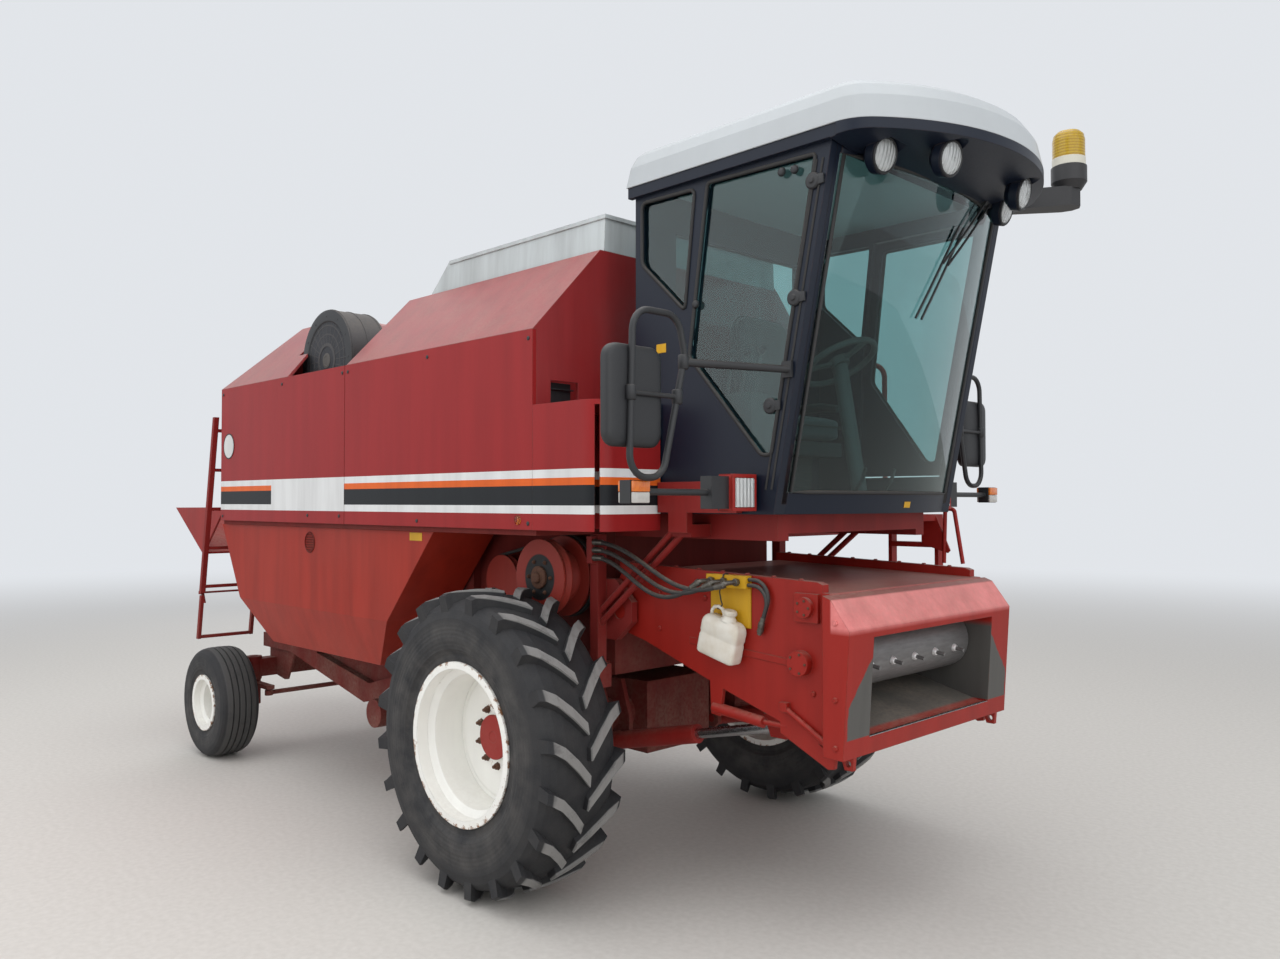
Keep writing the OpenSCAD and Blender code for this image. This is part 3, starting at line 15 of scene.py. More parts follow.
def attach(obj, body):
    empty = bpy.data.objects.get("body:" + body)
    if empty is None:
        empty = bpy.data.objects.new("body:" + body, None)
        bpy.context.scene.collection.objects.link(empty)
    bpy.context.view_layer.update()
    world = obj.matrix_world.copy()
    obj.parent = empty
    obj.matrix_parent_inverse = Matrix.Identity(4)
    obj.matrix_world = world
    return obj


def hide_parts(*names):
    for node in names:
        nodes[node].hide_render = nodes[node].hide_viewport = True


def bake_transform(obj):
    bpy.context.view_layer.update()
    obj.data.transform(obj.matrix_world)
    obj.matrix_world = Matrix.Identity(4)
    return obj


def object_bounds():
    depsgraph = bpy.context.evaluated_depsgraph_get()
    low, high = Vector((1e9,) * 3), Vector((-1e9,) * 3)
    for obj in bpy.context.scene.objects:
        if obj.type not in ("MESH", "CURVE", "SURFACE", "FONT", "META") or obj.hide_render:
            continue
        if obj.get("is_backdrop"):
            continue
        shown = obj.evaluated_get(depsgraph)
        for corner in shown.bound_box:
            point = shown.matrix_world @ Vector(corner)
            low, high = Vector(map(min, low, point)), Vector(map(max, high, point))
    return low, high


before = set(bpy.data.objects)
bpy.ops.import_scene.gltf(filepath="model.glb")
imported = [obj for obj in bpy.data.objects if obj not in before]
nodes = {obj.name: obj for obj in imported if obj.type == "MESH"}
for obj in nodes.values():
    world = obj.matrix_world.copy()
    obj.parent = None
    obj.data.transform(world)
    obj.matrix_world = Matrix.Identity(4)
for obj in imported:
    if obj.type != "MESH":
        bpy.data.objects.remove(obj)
cad_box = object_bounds()


def rounded(values):
    return [round(v, 3) for v in values]


print(len(nodes), "CAD pieces from", rounded(cad_box[0]), "to", rounded(cad_box[1]))

# %% [markdown]
# The photograph was taken by a standing person at the machine's front right corner. The lens and the place
# were solved from the wheels' ground contacts and the body's edges, so the same machine falls on the same
# spots of the picture.

# %% Camera
eye_place = (5.399, -4.237, 1.958)
eye_turn = (91.26, 0.03, 45.34)
camera_data = bpy.data.cameras.new("camera")
camera_data.sensor_width = 36
camera_data.lens = 28.06
camera = bpy.data.objects.new("camera", camera_data)
scene = bpy.context.scene
scene.collection.objects.link(camera)
camera.location = eye_place
camera.rotation_euler = [math.radians(angle) for angle in eye_turn]
scene.camera = camera
print("camera at", rounded(camera.location))

# %% [markdown]
# Every measure of this machine was taken from its front axle: so far forward, so far to the left, so high.
# One small function turns such a place, in millimetres, into the frame's metres, and from here on all
# pieces are placed with it.

# %% Places on the machine
front_axle_x = 1241
right, left = -1, 1
both_sides = ((right, "right"), (left, "left"))


def at(x, y, z):
    return Vector(((x + front_axle_x) / 1000, y / 1000, z / 1000))


front_wheel = {side: at(0, side * 1182.5, 758) for side, _ in both_sides}
rear_wheel = {side: at(-3678, side * 1078, 415) for side, _ in both_sides}
print("front wheel on the right at", rounded(front_wheel[right]))

# %% [markdown]
# Nearly all fittings are one of four shapes: a bar or hose swept along points, a turned part, a plate cut
# from an outline, or a block. Each shape is written into a bmesh, so that many small parts join in one
# mesh. Blender's own primitives could start them too, but here every edge stays where we put it, and one
# bevel at the end breaks the sharp edges the way a press or a mould leaves them. All four come down to
# rings of points joined by faces, so that step is a function of its own.

# %% Joining rings
def circle(centre, u, v, radius, steps):
    turns = [2 * math.pi * k / steps for k in range(steps)]
    return [centre + (u * math.cos(t) + v * math.sin(t)) * radius for t in turns]


def skin(bm, outlines, closed=False):
    rings = [[bm.verts.new(p) for p in outline] for outline in outlines]
    following = rings[1:] + rings[:1] if closed else rings[1:]
    for a, b in zip(rings, following):
        for k in range(len(a)):
            j = (k + 1) % len(a)
            bm.faces.new((a[k], a[j], b[j], b[k]))
    if not closed:
        bm.faces.new(rings[0])
        bm.faces.new(rings[-1])


print("skin joins rings of points")


# %% Shapes for small parts
def sweep(bm, points, radius, sides=12, closed=False):
    points = [Vector(p) for p in points]
    last = len(points) - 1
    rings = []
    normal = None
    for i, p in enumerate(points):
        before = points[i - 1] if i or closed else p
        after = points[(i + 1) % len(points)] if i < last or closed else p
        along = (after - before).normalized()
        normal = along.orthogonal() if normal is None else normal - along * normal.dot(along)
        normal.normalize()
        r = radius(i / last) if callable(radius) else radius
        rings.append(circle(p, normal, along.cross(normal), r, sides))
    skin(bm, rings, closed)


def turned(bm, profile, centre, axis, steps=48, closed=False):
    axis = Vector(axis).normalized()
    u = axis.orthogonal().normalized()
    v = axis.cross(u)
    skin(bm, [circle(Vector(centre) + axis * h, u, v, r, steps) for r, h in profile], closed)


def plate(bm, outline, offset):
    skin(bm, [[Vector(p) for p in outline], [Vector(p) + Vector(offset) for p in outline]])


def block(bm, low, high):
    a, b = Vector(low), Vector(high)
    plate(bm, [a, (b.x, a.y, a.z), (b.x, b.y, a.z), (a.x, b.y, a.z)], (0, 0, b.z - a.z))


print("four shapes: sweep, turned, plate, block")

# %% [markdown]
# A finished piece needs five things: clean normals, broken edges, smooth shading only where the form is
# round, a material, and the body it rides on. One function does all five, so none is ever forgotten.

# %% From shape to piece
bevel_over = math.radians(40)


def piece_from(name, bm, material, body="root", bevel=0.0, smooth=35):
    bmesh.ops.recalc_face_normals(bm, faces=bm.faces)
    if bevel:
        sharp = [e for e in bm.edges if len(e.link_faces) == 2 and e.calc_face_angle(0) > bevel_over]
        bmesh.ops.bevel(bm, geom=sharp, offset=bevel, segments=2, profile=0.6, affect="EDGES",
                        clamp_overlap=True)
    mesh = bpy.data.meshes.new(name)
    bm.to_mesh(mesh)
    bm.free()
    mesh.shade_smooth()
    mesh.set_sharp_from_angle(angle=math.radians(smooth))
    mesh.materials.append(material)
    piece = bpy.data.objects.new(name, mesh)
    scene.collection.objects.link(piece)
    if body:
        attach(piece, body)
    return piece


print("pieces get normals, edges, shading, material and body")

# %% [markdown]
# Materials are node trees. A few helpers keep them readable: one adds a node with its settings and inputs
# in one line, the others mix two colours, do a sum or stretch a range. Whatever is passed in may be a
# number, a colour or the output of another node.

# %% Node helpers
def plug(tree, socket, value):
    if isinstance(value, bpy.types.NodeSocket):
        tree.links.new(value, socket)
    else:
        socket.default_value = value


def node(tree, kind, inputs=None, **settings):
    made = tree.nodes.new("ShaderNode" + kind)
    for key, value in settings.items():
        setattr(made, key, value)
    for key, value in (inputs or {}).items():
        plug(tree, made.inputs[key], value)
    return made


def mix(tree, factor, a, b, blend="MIX"):
    made = node(tree, "Mix", data_type="RGBA", blend_type=blend)
    for place, value in ((0, factor), (6, a), (7, b)):
        plug(tree, made.inputs[place], value)
    return made.outputs[2]


def calc(tree, operation, a, b=0.0, clamp=False):
    return node(tree, "Math", {0: a, 1: b}, operation=operation, use_clamp=clamp).outputs[0]


def times(tree, a, *others):
    for b in others:
        a = calc(tree, "MULTIPLY", a, b)
    return a


def between(tree, value, low, high, smooth=False):
    kind = "SMOOTHSTEP" if smooth else "LINEAR"
    stretched = {"Value": value, "From Min": low, "From Max": high}
    return node(tree, "MapRange", stretched, interpolation_type=kind).outputs[0]


print("helpers: plug, node, mix, calc, times, between")


# %% Places, noise and groups
def machine_place(tree):
    return node(tree, "TexCoord").outputs["Object"]


def parts_of(tree, vector):
    return node(tree, "SeparateXYZ", {0: vector}).outputs


def noise(tree, where, scale, detail, roughness=0.5):
    settings = {"Vector": where, "Scale": scale, "Detail": detail, "Roughness": roughness}
    return node(tree, "TexNoise", settings).outputs["Fac"]


def scaled(tree, where, by):
    return node(tree, "VectorMath", {0: where, 1: by}, operation="MULTIPLY").outputs[0]


def from_axle(tree, where, centre):
    away = node(tree, "VectorMath", {0: where, 1: centre}, operation="SUBTRACT").outputs[0]
    return node(tree, "VectorMath", {0: scaled(tree, away, (1, 0, 1))}, operation="LENGTH").outputs["Value"]


def new_group(name, inputs, outputs):
    group = bpy.data.node_groups.new(name, "ShaderNodeTree")
    for label, value in inputs.items():
        kind = "NodeSocketColor" if isinstance(value, tuple) else "NodeSocketFloat"
        group.interface.new_socket(label, in_out="INPUT", socket_type=kind).default_value = value
    for label, kind in outputs.items():
        group.interface.new_socket(label, in_out="OUTPUT", socket_type="NodeSocket" + kind)
    return group, group.nodes.new("NodeGroupInput").outputs, group.nodes.new("NodeGroupOutput").inputs


def use_group(tree, group, values=None):
    made = tree.nodes.new("ShaderNodeGroup")
    made.node_tree = group
    for key, value in (values or {}).items():
        plug(tree, made.inputs[key], value)
    return made.outputs


print("helpers: machine_place, parts_of, noise, scaled, from_axle, new_group, use_group")

# %% [markdown]
# The studio is a pale floor and a pale surround. The surround looks pale grey to the camera and in glass
# and chrome, but it lights the machine at a plain level: Light Path tells the two apart, so the background's
# brightness never adds light to the paint. Four large soft lamps give the faces different values, the
# way an overcast sky does: a broad one from above, two at the seen sides and a weak one from behind. They
# are so wide that their own mirror image in the glass is no brighter than the surround.

# %% Studio surround
surround_colour = (0.76, 0.785, 0.82, 1)
sky_colour, sky_strength = (0.93, 0.96, 1.0, 1), 0.62
scene.view_settings.view_transform = "Standard"
world = bpy.data.worlds.new("studio")
scene.world = world
world.use_nodes = True
tree = world.node_tree
tree.nodes.clear()
sky = node(tree, "Background", {"Color": sky_colour, "Strength": sky_strength}).outputs[0]
seen = node(tree, "Background", {"Color": surround_colour, "Strength": 1.0}).outputs[0]
rays = node(tree, "LightPath").outputs
either = calc(tree, "MAXIMUM", rays["Is Camera Ray"], rays["Is Glossy Ray"])
any_of = calc(tree, "MAXIMUM", either, rays["Is Transmission Ray"])
mixed = node(tree, "MixShader", {0: any_of, 1: sky, 2: seen}).outputs[0]
tree.links.new(mixed, tree.nodes.new("ShaderNodeOutputWorld").inputs["Surface"])
print("surround ready")

# %% Studio lamps
lamps_aim = Vector((0, 0, 1.6))


def soft_lamp(name, place, size, power):
    data = bpy.data.lights.new(name, "AREA")
    data.shape = "DISK"
    data.size = size
    data.energy = power
    lamp = bpy.data.objects.new(name, data)
    scene.collection.objects.link(lamp)
    lamp.location = place
    lamp.rotation_euler = (lamps_aim - Vector(place)).to_track_quat("-Z", "Y").to_euler()


soft_lamp("lamp_above", (1.0, -1.5, 9.5), 12.0, 497)
soft_lamp("lamp_front", (9.0, -3.0, 5.0), 11.0, 280)
soft_lamp("lamp_right", (-2.0, -9.5, 5.5), 12.0, 257)
soft_lamp("lamp_behind", (-9.0, 6.0, 6.0), 10.0, 152)
print("four lamps")

# %% [markdown]
# Decades of harvest leave three marks on every painted or moulded surface. Edges lose their paint first,
# dust settles on what faces up and on what is near the ground, and rain draws streaks down the sides.
# Each mark is one group that gives out a mask. The edge mask compares the surface's own normal with
# one that is rounded over a few millimetres: they differ only along edges.

# %% Edge mask
edge_marks, edge_masks = {"Width": 0.006, "Amount": 0.5}, {"Mask": "Float", "Normal": "Vector"}
g, given, result = new_group("edge_wear", edge_marks, edge_masks)
edge_group = g
rounded_normal = node(g, "Bevel", {"Radius": given["Width"]}, samples=4).outputs[0]
normals = {0: rounded_normal, 1: node(g, "NewGeometry").outputs["Normal"]}
same = node(g, "VectorMath", normals, operation="DOT_PRODUCT").outputs["Value"]
patchy = noise(g, machine_place(g), 14.0, 5.0, 0.7)
bare = times(g, between(g, same, 0.99, 0.86), between(g, patchy, 0.42, 0.66))
g.links.new(calc(g, "MULTIPLY", bare, given["Amount"], clamp=True), result["Mask"])
g.links.new(rounded_normal, result["Normal"])
print("group", g.name)

# %% Dust mask
g, given, result = new_group("settled_dust", {"Amount": 0.5, "Splash height": 1.0}, {"Mask": "Float"})
dust_group = g
where = machine_place(g)
facing = parts_of(g, node(g, "NewGeometry").outputs["Normal"])["Z"]
height = parts_of(g, where)["Z"]
cloudy = noise(g, where, 3.0, 6.0, 0.62)
fine = noise(g, where, 55.0, 3.0)
lying = times(g, between(g, facing, 0.25, 0.95), between(g, cloudy, 0.25, 0.62))
splashed = times(g, between(g, height, given["Splash height"], 0.0), between(g, cloudy, 0.35, 0.75))
grainy = times(g, calc(g, "MAXIMUM", lying, splashed), between(g, fine, 0.15, 0.6))
g.links.new(calc(g, "MULTIPLY", grainy, given["Amount"], clamp=True), result["Mask"])
print("group", g.name)

# %% Rain streaks and fading
streak_masks = {"Streak": "Float", "Fade": "Float", "Fine": "Float"}
g, given, result = new_group("rain_streaks", {"Scale": 1.0}, streak_masks)
streak_group = g
where = machine_place(g)
streaks = noise(g, scaled(g, where, (9.0, 9.0, 0.9)), given["Scale"], 5.0, 0.6)
clouds = noise(g, where, 1.1, 4.0, 0.55)
g.links.new(between(g, streaks, 0.38, 0.72), result["Streak"])
g.links.new(between(g, clouds, 0.3, 0.7), result["Fade"])
g.links.new(noise(g, where, 120.0, 3.0), result["Fine"])
print("group", g.name)

# %% [markdown]
# Most of the machine is brushed or sprayed enamel that has gone chalky. We want one recipe with a few
# numbers, so that the red, the cream and the black differ only in those. The recipe is a group around the
# three masks: the colour fades in clouds, streaks run down, dust lies on top, and edges show primer and
# rust. It hands back a colour, a roughness and a height, and the shader itself stays in each material.

# %% Weathered enamel
dust_colour = (0.40, 0.33, 0.26, 1)
streak_shade = (0.35, 0.33, 0.33, 1)
enamel_inputs = {"Paint": (0.4, 0.05, 0.04, 1), "Faded": (0.45, 0.12, 0.11, 1),
                 "Under": (0.16, 0.07, 0.045, 1), "Fading": 0.5, "Streaks": 0.25, "Dust": 0.5,
                 "Splash height": 1.0, "Wear": 0.6, "Roughness": 0.42}
enamel_results = {"Color": "Color", "Roughness": "Float", "Height": "Float", "Normal": "Vector"}
g, given, result = new_group("weathered_enamel", enamel_inputs, enamel_results)
enamel_group = g
marks = use_group(g, streak_group)
edge = use_group(g, edge_group, {"Amount": given["Wear"]})
dust = use_group(g, dust_group, {"Amount": given["Dust"], "Splash height": given["Splash height"]})
faded = mix(g, times(g, marks["Fade"], given["Fading"]), given["Paint"], given["Faded"])
streaked = mix(g, times(g, marks["Streak"], given["Streaks"]), faded, streak_shade, "MULTIPLY")
dusty = mix(g, dust["Mask"], streaked, dust_colour)
g.links.new(mix(g, edge["Mask"], dusty, given["Under"]), result["Color"])
rough = calc(g, "ADD", given["Roughness"], times(g, marks["Fine"], 0.12))
rough = calc(g, "ADD", rough, times(g, dust["Mask"], 0.4))
g.links.new(calc(g, "ADD", rough, times(g, edge["Mask"], 0.3), clamp=True), result["Roughness"])
low = times(g, edge["Mask"], -0.6)
g.links.new(calc(g, "ADD", low, times(g, marks["Fine"], 0.25)), result["Height"])
g.links.new(edge["Normal"], result["Normal"])
print("group", g.name, "with", len(enamel_inputs), "inputs")


# %% Painted materials
def new_material(name):
    material = bpy.data.materials.new(name)
    material.use_nodes = True
    tree = material.node_tree
    tree.nodes.clear()
    shader = tree.nodes.new("ShaderNodeBsdfPrincipled")
    out = tree.nodes.new("ShaderNodeOutputMaterial")
    tree.links.new(shader.outputs[0], out.inputs["Surface"])
    return material, tree, shader


def bump(tree, shader, height, strength=0.3, distance=0.001, normal=None):
    made = node(tree, "Bump", {"Height": height, "Strength": strength, "Distance": distance})
    if normal is not None:
        tree.links.new(normal, made.inputs["Normal"])
    tree.links.new(made.outputs[0], shader.inputs["Normal"])


def enamel(name, paint, faded=None, coat=0.06, gloss=0.3, base=None, **amounts):
    material, tree, shader = new_material(name)
    values = {"Paint": (*paint, 1), "Faded": (*(faded or paint), 1)}
    values.update({key.replace("_", " ").capitalize(): value for key, value in amounts.items()})
    if base:
        values["Paint"] = values["Faded"] = base(tree, (*paint, 1))
    coated = use_group(tree, enamel_group, values)
    tree.links.new(coated["Color"], shader.inputs["Base Color"])
    tree.links.new(coated["Roughness"], shader.inputs["Roughness"])
    shader.inputs["Coat Weight"].default_value = coat
    shader.inputs["Coat Roughness"].default_value = 0.25
    shader.inputs["Specular IOR Level"].default_value = gloss
    bump(tree, shader, coated["Height"], 0.25, 0.0008, coated["Normal"])
    return material


print("helpers: new_material, bump, enamel")

# %% Red enamels
red_enamel = enamel("red_enamel", (0.32, 0.017, 0.013), (0.31, 0.030, 0.025), gloss=0.22,
                    fading=0.6, streaks=0.3, dust=0.3)
upper_red = enamel("upper_red_enamel", (0.29, 0.018, 0.019), (0.33, 0.060, 0.064), coat=0.25, gloss=0.45,
                   fading=0.5, streaks=0.35, dust=0.4, roughness=0.3)
cover_red = enamel("cover_red_enamel", (0.35, 0.022, 0.009), (0.34, 0.038, 0.024), coat=0.04, gloss=0.2,
                   fading=0.6, streaks=0.35, dust=0.4, splash_height=1.2, roughness=0.38)
frame_red = enamel("frame_red_enamel", (0.24, 0.014, 0.012), (0.24, 0.028, 0.024), gloss=0.22,
                   fading=0.7, streaks=0.35, dust=0.5, splash_height=1.4, wear=0.8, roughness=0.5)
# The under-body red is the same red made much darker: painted shade for the parts under the machine, on top of
# heavier dust and wear.
shade_darkened_red = enamel("shade_darkened_red_enamel", (0.18, 0.013, 0.011), (0.15, 0.028, 0.022), coat=0.0, gloss=0.2,
                   fading=0.8, streaks=0.4, dust=0.55, splash_height=1.6, wear=0.8, roughness=0.6)
print("five red enamels")

# %% Other enamels
cream_enamel = enamel("cream_enamel", (0.47, 0.50, 0.52), (0.43, 0.45, 0.46),
                      fading=0.5, streaks=0.05, dust=0.15, wear=0.3, roughness=0.4)
grey_white = enamel("grey_white_enamel", (0.56, 0.61, 0.62), (0.45, 0.47, 0.46),
                    fading=0.6, streaks=0.4, dust=0.5, wear=0.7, roughness=0.5)
black_enamel = enamel("black_enamel", (0.005, 0.009, 0.020), (0.010, 0.015, 0.028), gloss=0.25,
                      fading=0.6, streaks=0.1, dust=0.10, wear=0.25, roughness=0.36)
yellow_enamel = enamel("yellow_enamel", (0.66, 0.36, 0.008), (0.58, 0.34, 0.03),
                       fading=0.6, streaks=0.3, dust=0.4, wear=0.5, roughness=0.45)
sign_white = enamel("sign_white_enamel", (0.72, 0.73, 0.72), (0.6, 0.6, 0.58),
                    fading=0.4, streaks=0.2, dust=0.2, wear=0.2, roughness=0.35)
print("five other enamels")

# %% [markdown]
# The side panels carry a band of stripes right round to the corner panel's front: white, orange, black and
# white, with a blank white field in it behind the tank. On the real machine they are foil strips. We could
# lay thin strips on the sheet, but they would flicker where they touch it, so we let the height above the
# ground choose the colour inside the paint itself: a colour ramp with hard steps, whose alpha says where
# there is foil at all.

# %% Striped panels
band_low, band_high = 1.80, 2.20
field_back, field_front = at(-2557, 0, 0).x, at(-1532, 0, 0).x
white_foil = (0.75, 0.76, 0.76, 1)
orange_foil = (0.75, 0.13, 0.018, 1)
black_foil = (0.012, 0.014, 0.017, 1)
no_foil = (0, 0, 0, 0)
stripes = [(0.0, no_foil), (0.2425, white_foil), (0.3475, black_foil), (0.5825, orange_foil),
           (0.6725, white_foil), (0.775, no_foil)]


def striped(tree, paint):
    where = parts_of(tree, machine_place(tree))
    ramp = node(tree, "ValToRGB", {"Fac": between(tree, where["Z"], band_low, band_high)})
    ramp.color_ramp.interpolation = "CONSTANT"
    while len(ramp.color_ramp.elements) < len(stripes):
        ramp.color_ramp.elements.new(0.5)
    for element, (place, colour) in zip(ramp.color_ramp.elements, stripes):
        element.position = place
        element.color = colour
    ahead = calc(tree, "GREATER_THAN", where["X"], field_back)
    inside = times(tree, ahead, calc(tree, "LESS_THAN", where["X"], field_front))
    foil = mix(tree, inside, ramp.outputs["Color"], white_foil)
    return mix(tree, ramp.outputs["Alpha"], paint, foil)


striped_red = enamel("striped_red_enamel", (0.305, 0.016, 0.017), base=striped, gloss=0.2, coat=0.05,
                     streaks=0.25, dust=0.2, roughness=0.36)
edges_of_band = rounded(band_low + (band_high - band_low) * stripes[k][0] for k in (1, -1))
print("stripes between", edges_of_band[0], "and", edges_of_band[1], "m")

# %% [markdown]
# Tyre rubber is never black. The flanks are grey with dust, the grooves between the lugs keep dry soil, and
# the lug tips are scuffed to a lighter grey. All three depend on the distance from the wheel's own axle, so
# that distance is measured in the material, and the same distance also raises the fine rings on the flank.

# %% Tyre rubber
clean_rubber = (0.013, 0.0135, 0.016, 1)
dusty_rubber = (0.13, 0.12, 0.11, 1)
flank_rings = 300.0


def tyre_rubber(name, centre, tip, shoulder, worn):
    material, tree, shader = new_material(name)
    where = machine_place(tree)
    distance = from_axle(tree, where, centre)
    cloudy = noise(tree, where, 7.0, 6.0, 0.65)
    grit = noise(tree, where, 160.0, 4.0)
    scuffed = times(tree, between(tree, distance, tip - 0.014, tip - 0.009), between(tree, cloudy, 0.15, 0.45))
    flank = between(tree, distance, shoulder, shoulder - 0.05)
    dusty = times(tree, between(tree, cloudy, 0.35, 0.8), calc(tree, "ADD", times(tree, flank, 0.35), 0.18))
    colour = mix(tree, dusty, clean_rubber, dusty_rubber)
    colour = mix(tree, times(tree, scuffed, 0.85), colour, (worn, worn * 0.98, worn * 0.95, 1))
    tree.links.new(colour, shader.inputs["Base Color"])
    tree.links.new(calc(tree, "ADD", times(tree, grit, 0.2), 0.62), shader.inputs["Roughness"])
    rings = times(tree, calc(tree, "SINE", times(tree, distance, flank_rings)), times(tree, flank, 0.5))
    bump(tree, shader, calc(tree, "ADD", rings, times(tree, grit, 0.7)), 0.5, 0.002)
    return material


front_rubber = {side: tyre_rubber("front_tyre_rubber_" + word, front_wheel[side], 0.758, 0.62, 0.26)
                for side, word in both_sides}
rear_rubber = {side: tyre_rubber("rear_tyre_rubber_" + word, rear_wheel[side], 0.415, 0.36, 0.07)
               for side, word in both_sides}
print(len(front_rubber) + len(rear_rubber), "rubbers")

# %% [markdown]
# The rims are cream enamel, and rust creeps in from where stones strike: the flange that the tyre bears on,
# and the ring of wheel bolts. Again the distance from the axle tells where that is.

# %% Rim paint
rim_colour = (0.93, 0.925, 0.88)
rust_colour = (0.26, 0.11, 0.04, 1)


def rim_paint(name, centre, flange, bolt_ring):
    def rusting(tree, paint):
        where = machine_place(tree)
        distance = from_axle(tree, where, centre)
        eaten = noise(tree, where, 22.0, 8.0, 0.75)
        at_flange = between(tree, distance, flange - 0.05, flange + 0.002)
        off_ring = calc(tree, "ABSOLUTE", calc(tree, "SUBTRACT", distance, bolt_ring))
        at_bolts = between(tree, off_ring, 0.05, 0.005)
        worst = calc(tree, "MAXIMUM", at_flange, times(tree, at_bolts, 0.85))
        rust = between(tree, calc(tree, "ADD", eaten, times(tree, worst, 0.24)), 0.72, 0.80)
        return mix(tree, rust, paint, rust_colour)

    return enamel(name, rim_colour, base=rusting, streaks=0.08, dust=0.2, splash_height=0.8,
                  wear=0.25, roughness=0.42)


front_bolt_ring, rear_bolt_ring = 0.152, 0.095
front_rim_paint = {side: rim_paint("front_rim_paint_" + word, front_wheel[side], 0.406, front_bolt_ring)
                   for side, word in both_sides}
rear_rim_paint = {side: rim_paint("rear_rim_paint_" + word, rear_wheel[side], 0.212, rear_bolt_ring)
                  for side, word in both_sides}
print(len(front_rim_paint) + len(rear_rim_paint), "rim paints")

# %% [markdown]
# The other finishes are simpler. Worn steel is grey with fine rubbed lines, black mouldings have a leather
# grain, and hose rubber is matt. They differ in two colours, in how coarse the grain is and in whether it
# is stretched, so one function with those numbers makes them all.

# %% Steel, plastic and rubber
def plain_finish(name, colour, second, roughness, metal=0.0, scale=40.0, stretch=(1, 1, 1), depth=0.0006,
                 dust=0.3, coat=0.0):
    material, tree, shader = new_material(name)
    grain = noise(tree, scaled(tree, machine_place(tree), stretch), scale, 5.0, 0.6)
    settled = use_group(tree, dust_group, {"Amount": dust, "Splash height": 1.2})["Mask"]
    edge = use_group(tree, edge_group, {"Width": 0.003, "Amount": 0.3})
    colour = mix(tree, between(tree, grain, 0.3, 0.7), (*colour, 1), (*second, 1))
    colour = mix(tree, settled, mix(tree, edge["Mask"], colour, (*second, 1)), dust_colour)
    tree.links.new(colour, shader.inputs["Base Color"])
    rough = calc(tree, "ADD", times(tree, grain, 0.2), roughness - 0.1)
    dusted = calc(tree, "ADD", rough, times(tree, settled, 0.4), clamp=True)
    tree.links.new(dusted, shader.inputs["Roughness"])
    shader.inputs["Metallic"].default_value = metal
    shader.inputs["Coat Weight"].default_value = coat
    bump(tree, shader, grain, 0.4, depth, edge["Normal"])
    return material


print("helper: plain_finish")

# %% Metals
worn_steel = plain_finish("worn_steel", (0.20, 0.195, 0.195), (0.15, 0.145, 0.145), 0.45, metal=0.4,
                          scale=24, stretch=(3, 0.5, 3), dust=0.15)
bright_steel = plain_finish("bright_steel", (0.55, 0.55, 0.56), (0.40, 0.40, 0.41), 0.25, metal=1.0,
                            scale=60, stretch=(1, 1, 6), dust=0.1)
rusty_steel = plain_finish("rusty_steel", (0.085, 0.035, 0.022), (0.15, 0.07, 0.04), 0.75, metal=0.2,
                           scale=70)
dark_wire = plain_finish("dark_wire_mesh", (0.06, 0.058, 0.06), (0.10, 0.095, 0.095), 0.6, metal=0.5,
                         scale=300, dust=0.2)
engine_grey = plain_finish("engine_grey", (0.07, 0.065, 0.06), (0.12, 0.11, 0.10), 0.6, metal=0.3,
                           scale=12, dust=0.5)
fitting_steel = plain_finish("fitting_steel", (0.10, 0.095, 0.085), (0.17, 0.16, 0.14), 0.4, metal=0.8,
                             scale=60)
lamp_bowl = plain_finish("lamp_bowl", (0.88, 0.88, 0.88), (0.80, 0.80, 0.80), 0.3, metal=0.35,
                         scale=30, depth=0.0001, dust=0.05)
print("seven metals")

# %% Plastics and rubbers
black_moulding = plain_finish("black_moulding", (0.013, 0.014, 0.016), (0.022, 0.023, 0.026), 0.5,
                              scale=320, depth=0.0004, dust=0.12)
soft_black = plain_finish("soft_black_rubber", (0.017, 0.017, 0.018), (0.03, 0.029, 0.028), 0.7,
                          scale=200, dust=0.25)
hose_black = plain_finish("hose_rubber", (0.02, 0.02, 0.021), (0.04, 0.038, 0.036), 0.55, scale=260, dust=0.5)
cab_grey = plain_finish("cab_grey_plastic", (0.06, 0.06, 0.062), (0.085, 0.083, 0.08), 0.6,
                        scale=240, dust=0.15)
milky_plastic = plain_finish("milky_plastic", (0.78, 0.76, 0.70), (0.62, 0.56, 0.46), 0.4,
                             scale=9, depth=0.0001, dust=0.45)
flasher_amber = plain_finish("flasher_amber", (0.75, 0.20, 0.02), (0.62, 0.13, 0.01), 0.25,
                             scale=30, dust=0.1, coat=0.6)
flasher_clear = plain_finish("flasher_clear", (0.55, 0.53, 0.50), (0.44, 0.42, 0.40), 0.25,
                             scale=30, dust=0.1, coat=0.6)
print("seven plastics and rubbers")

# %% [markdown]
# Glass keeps plain numbers on its shader: a teal tint and full transmission. Lamps could not reach the seat
# through it, because real refraction stops shadow rays. So the cab glass hands those rays, and all that
# come off another surface, to a transparent shader of the same tint. Then the seat and the pedals get
# their daylight with little noise.

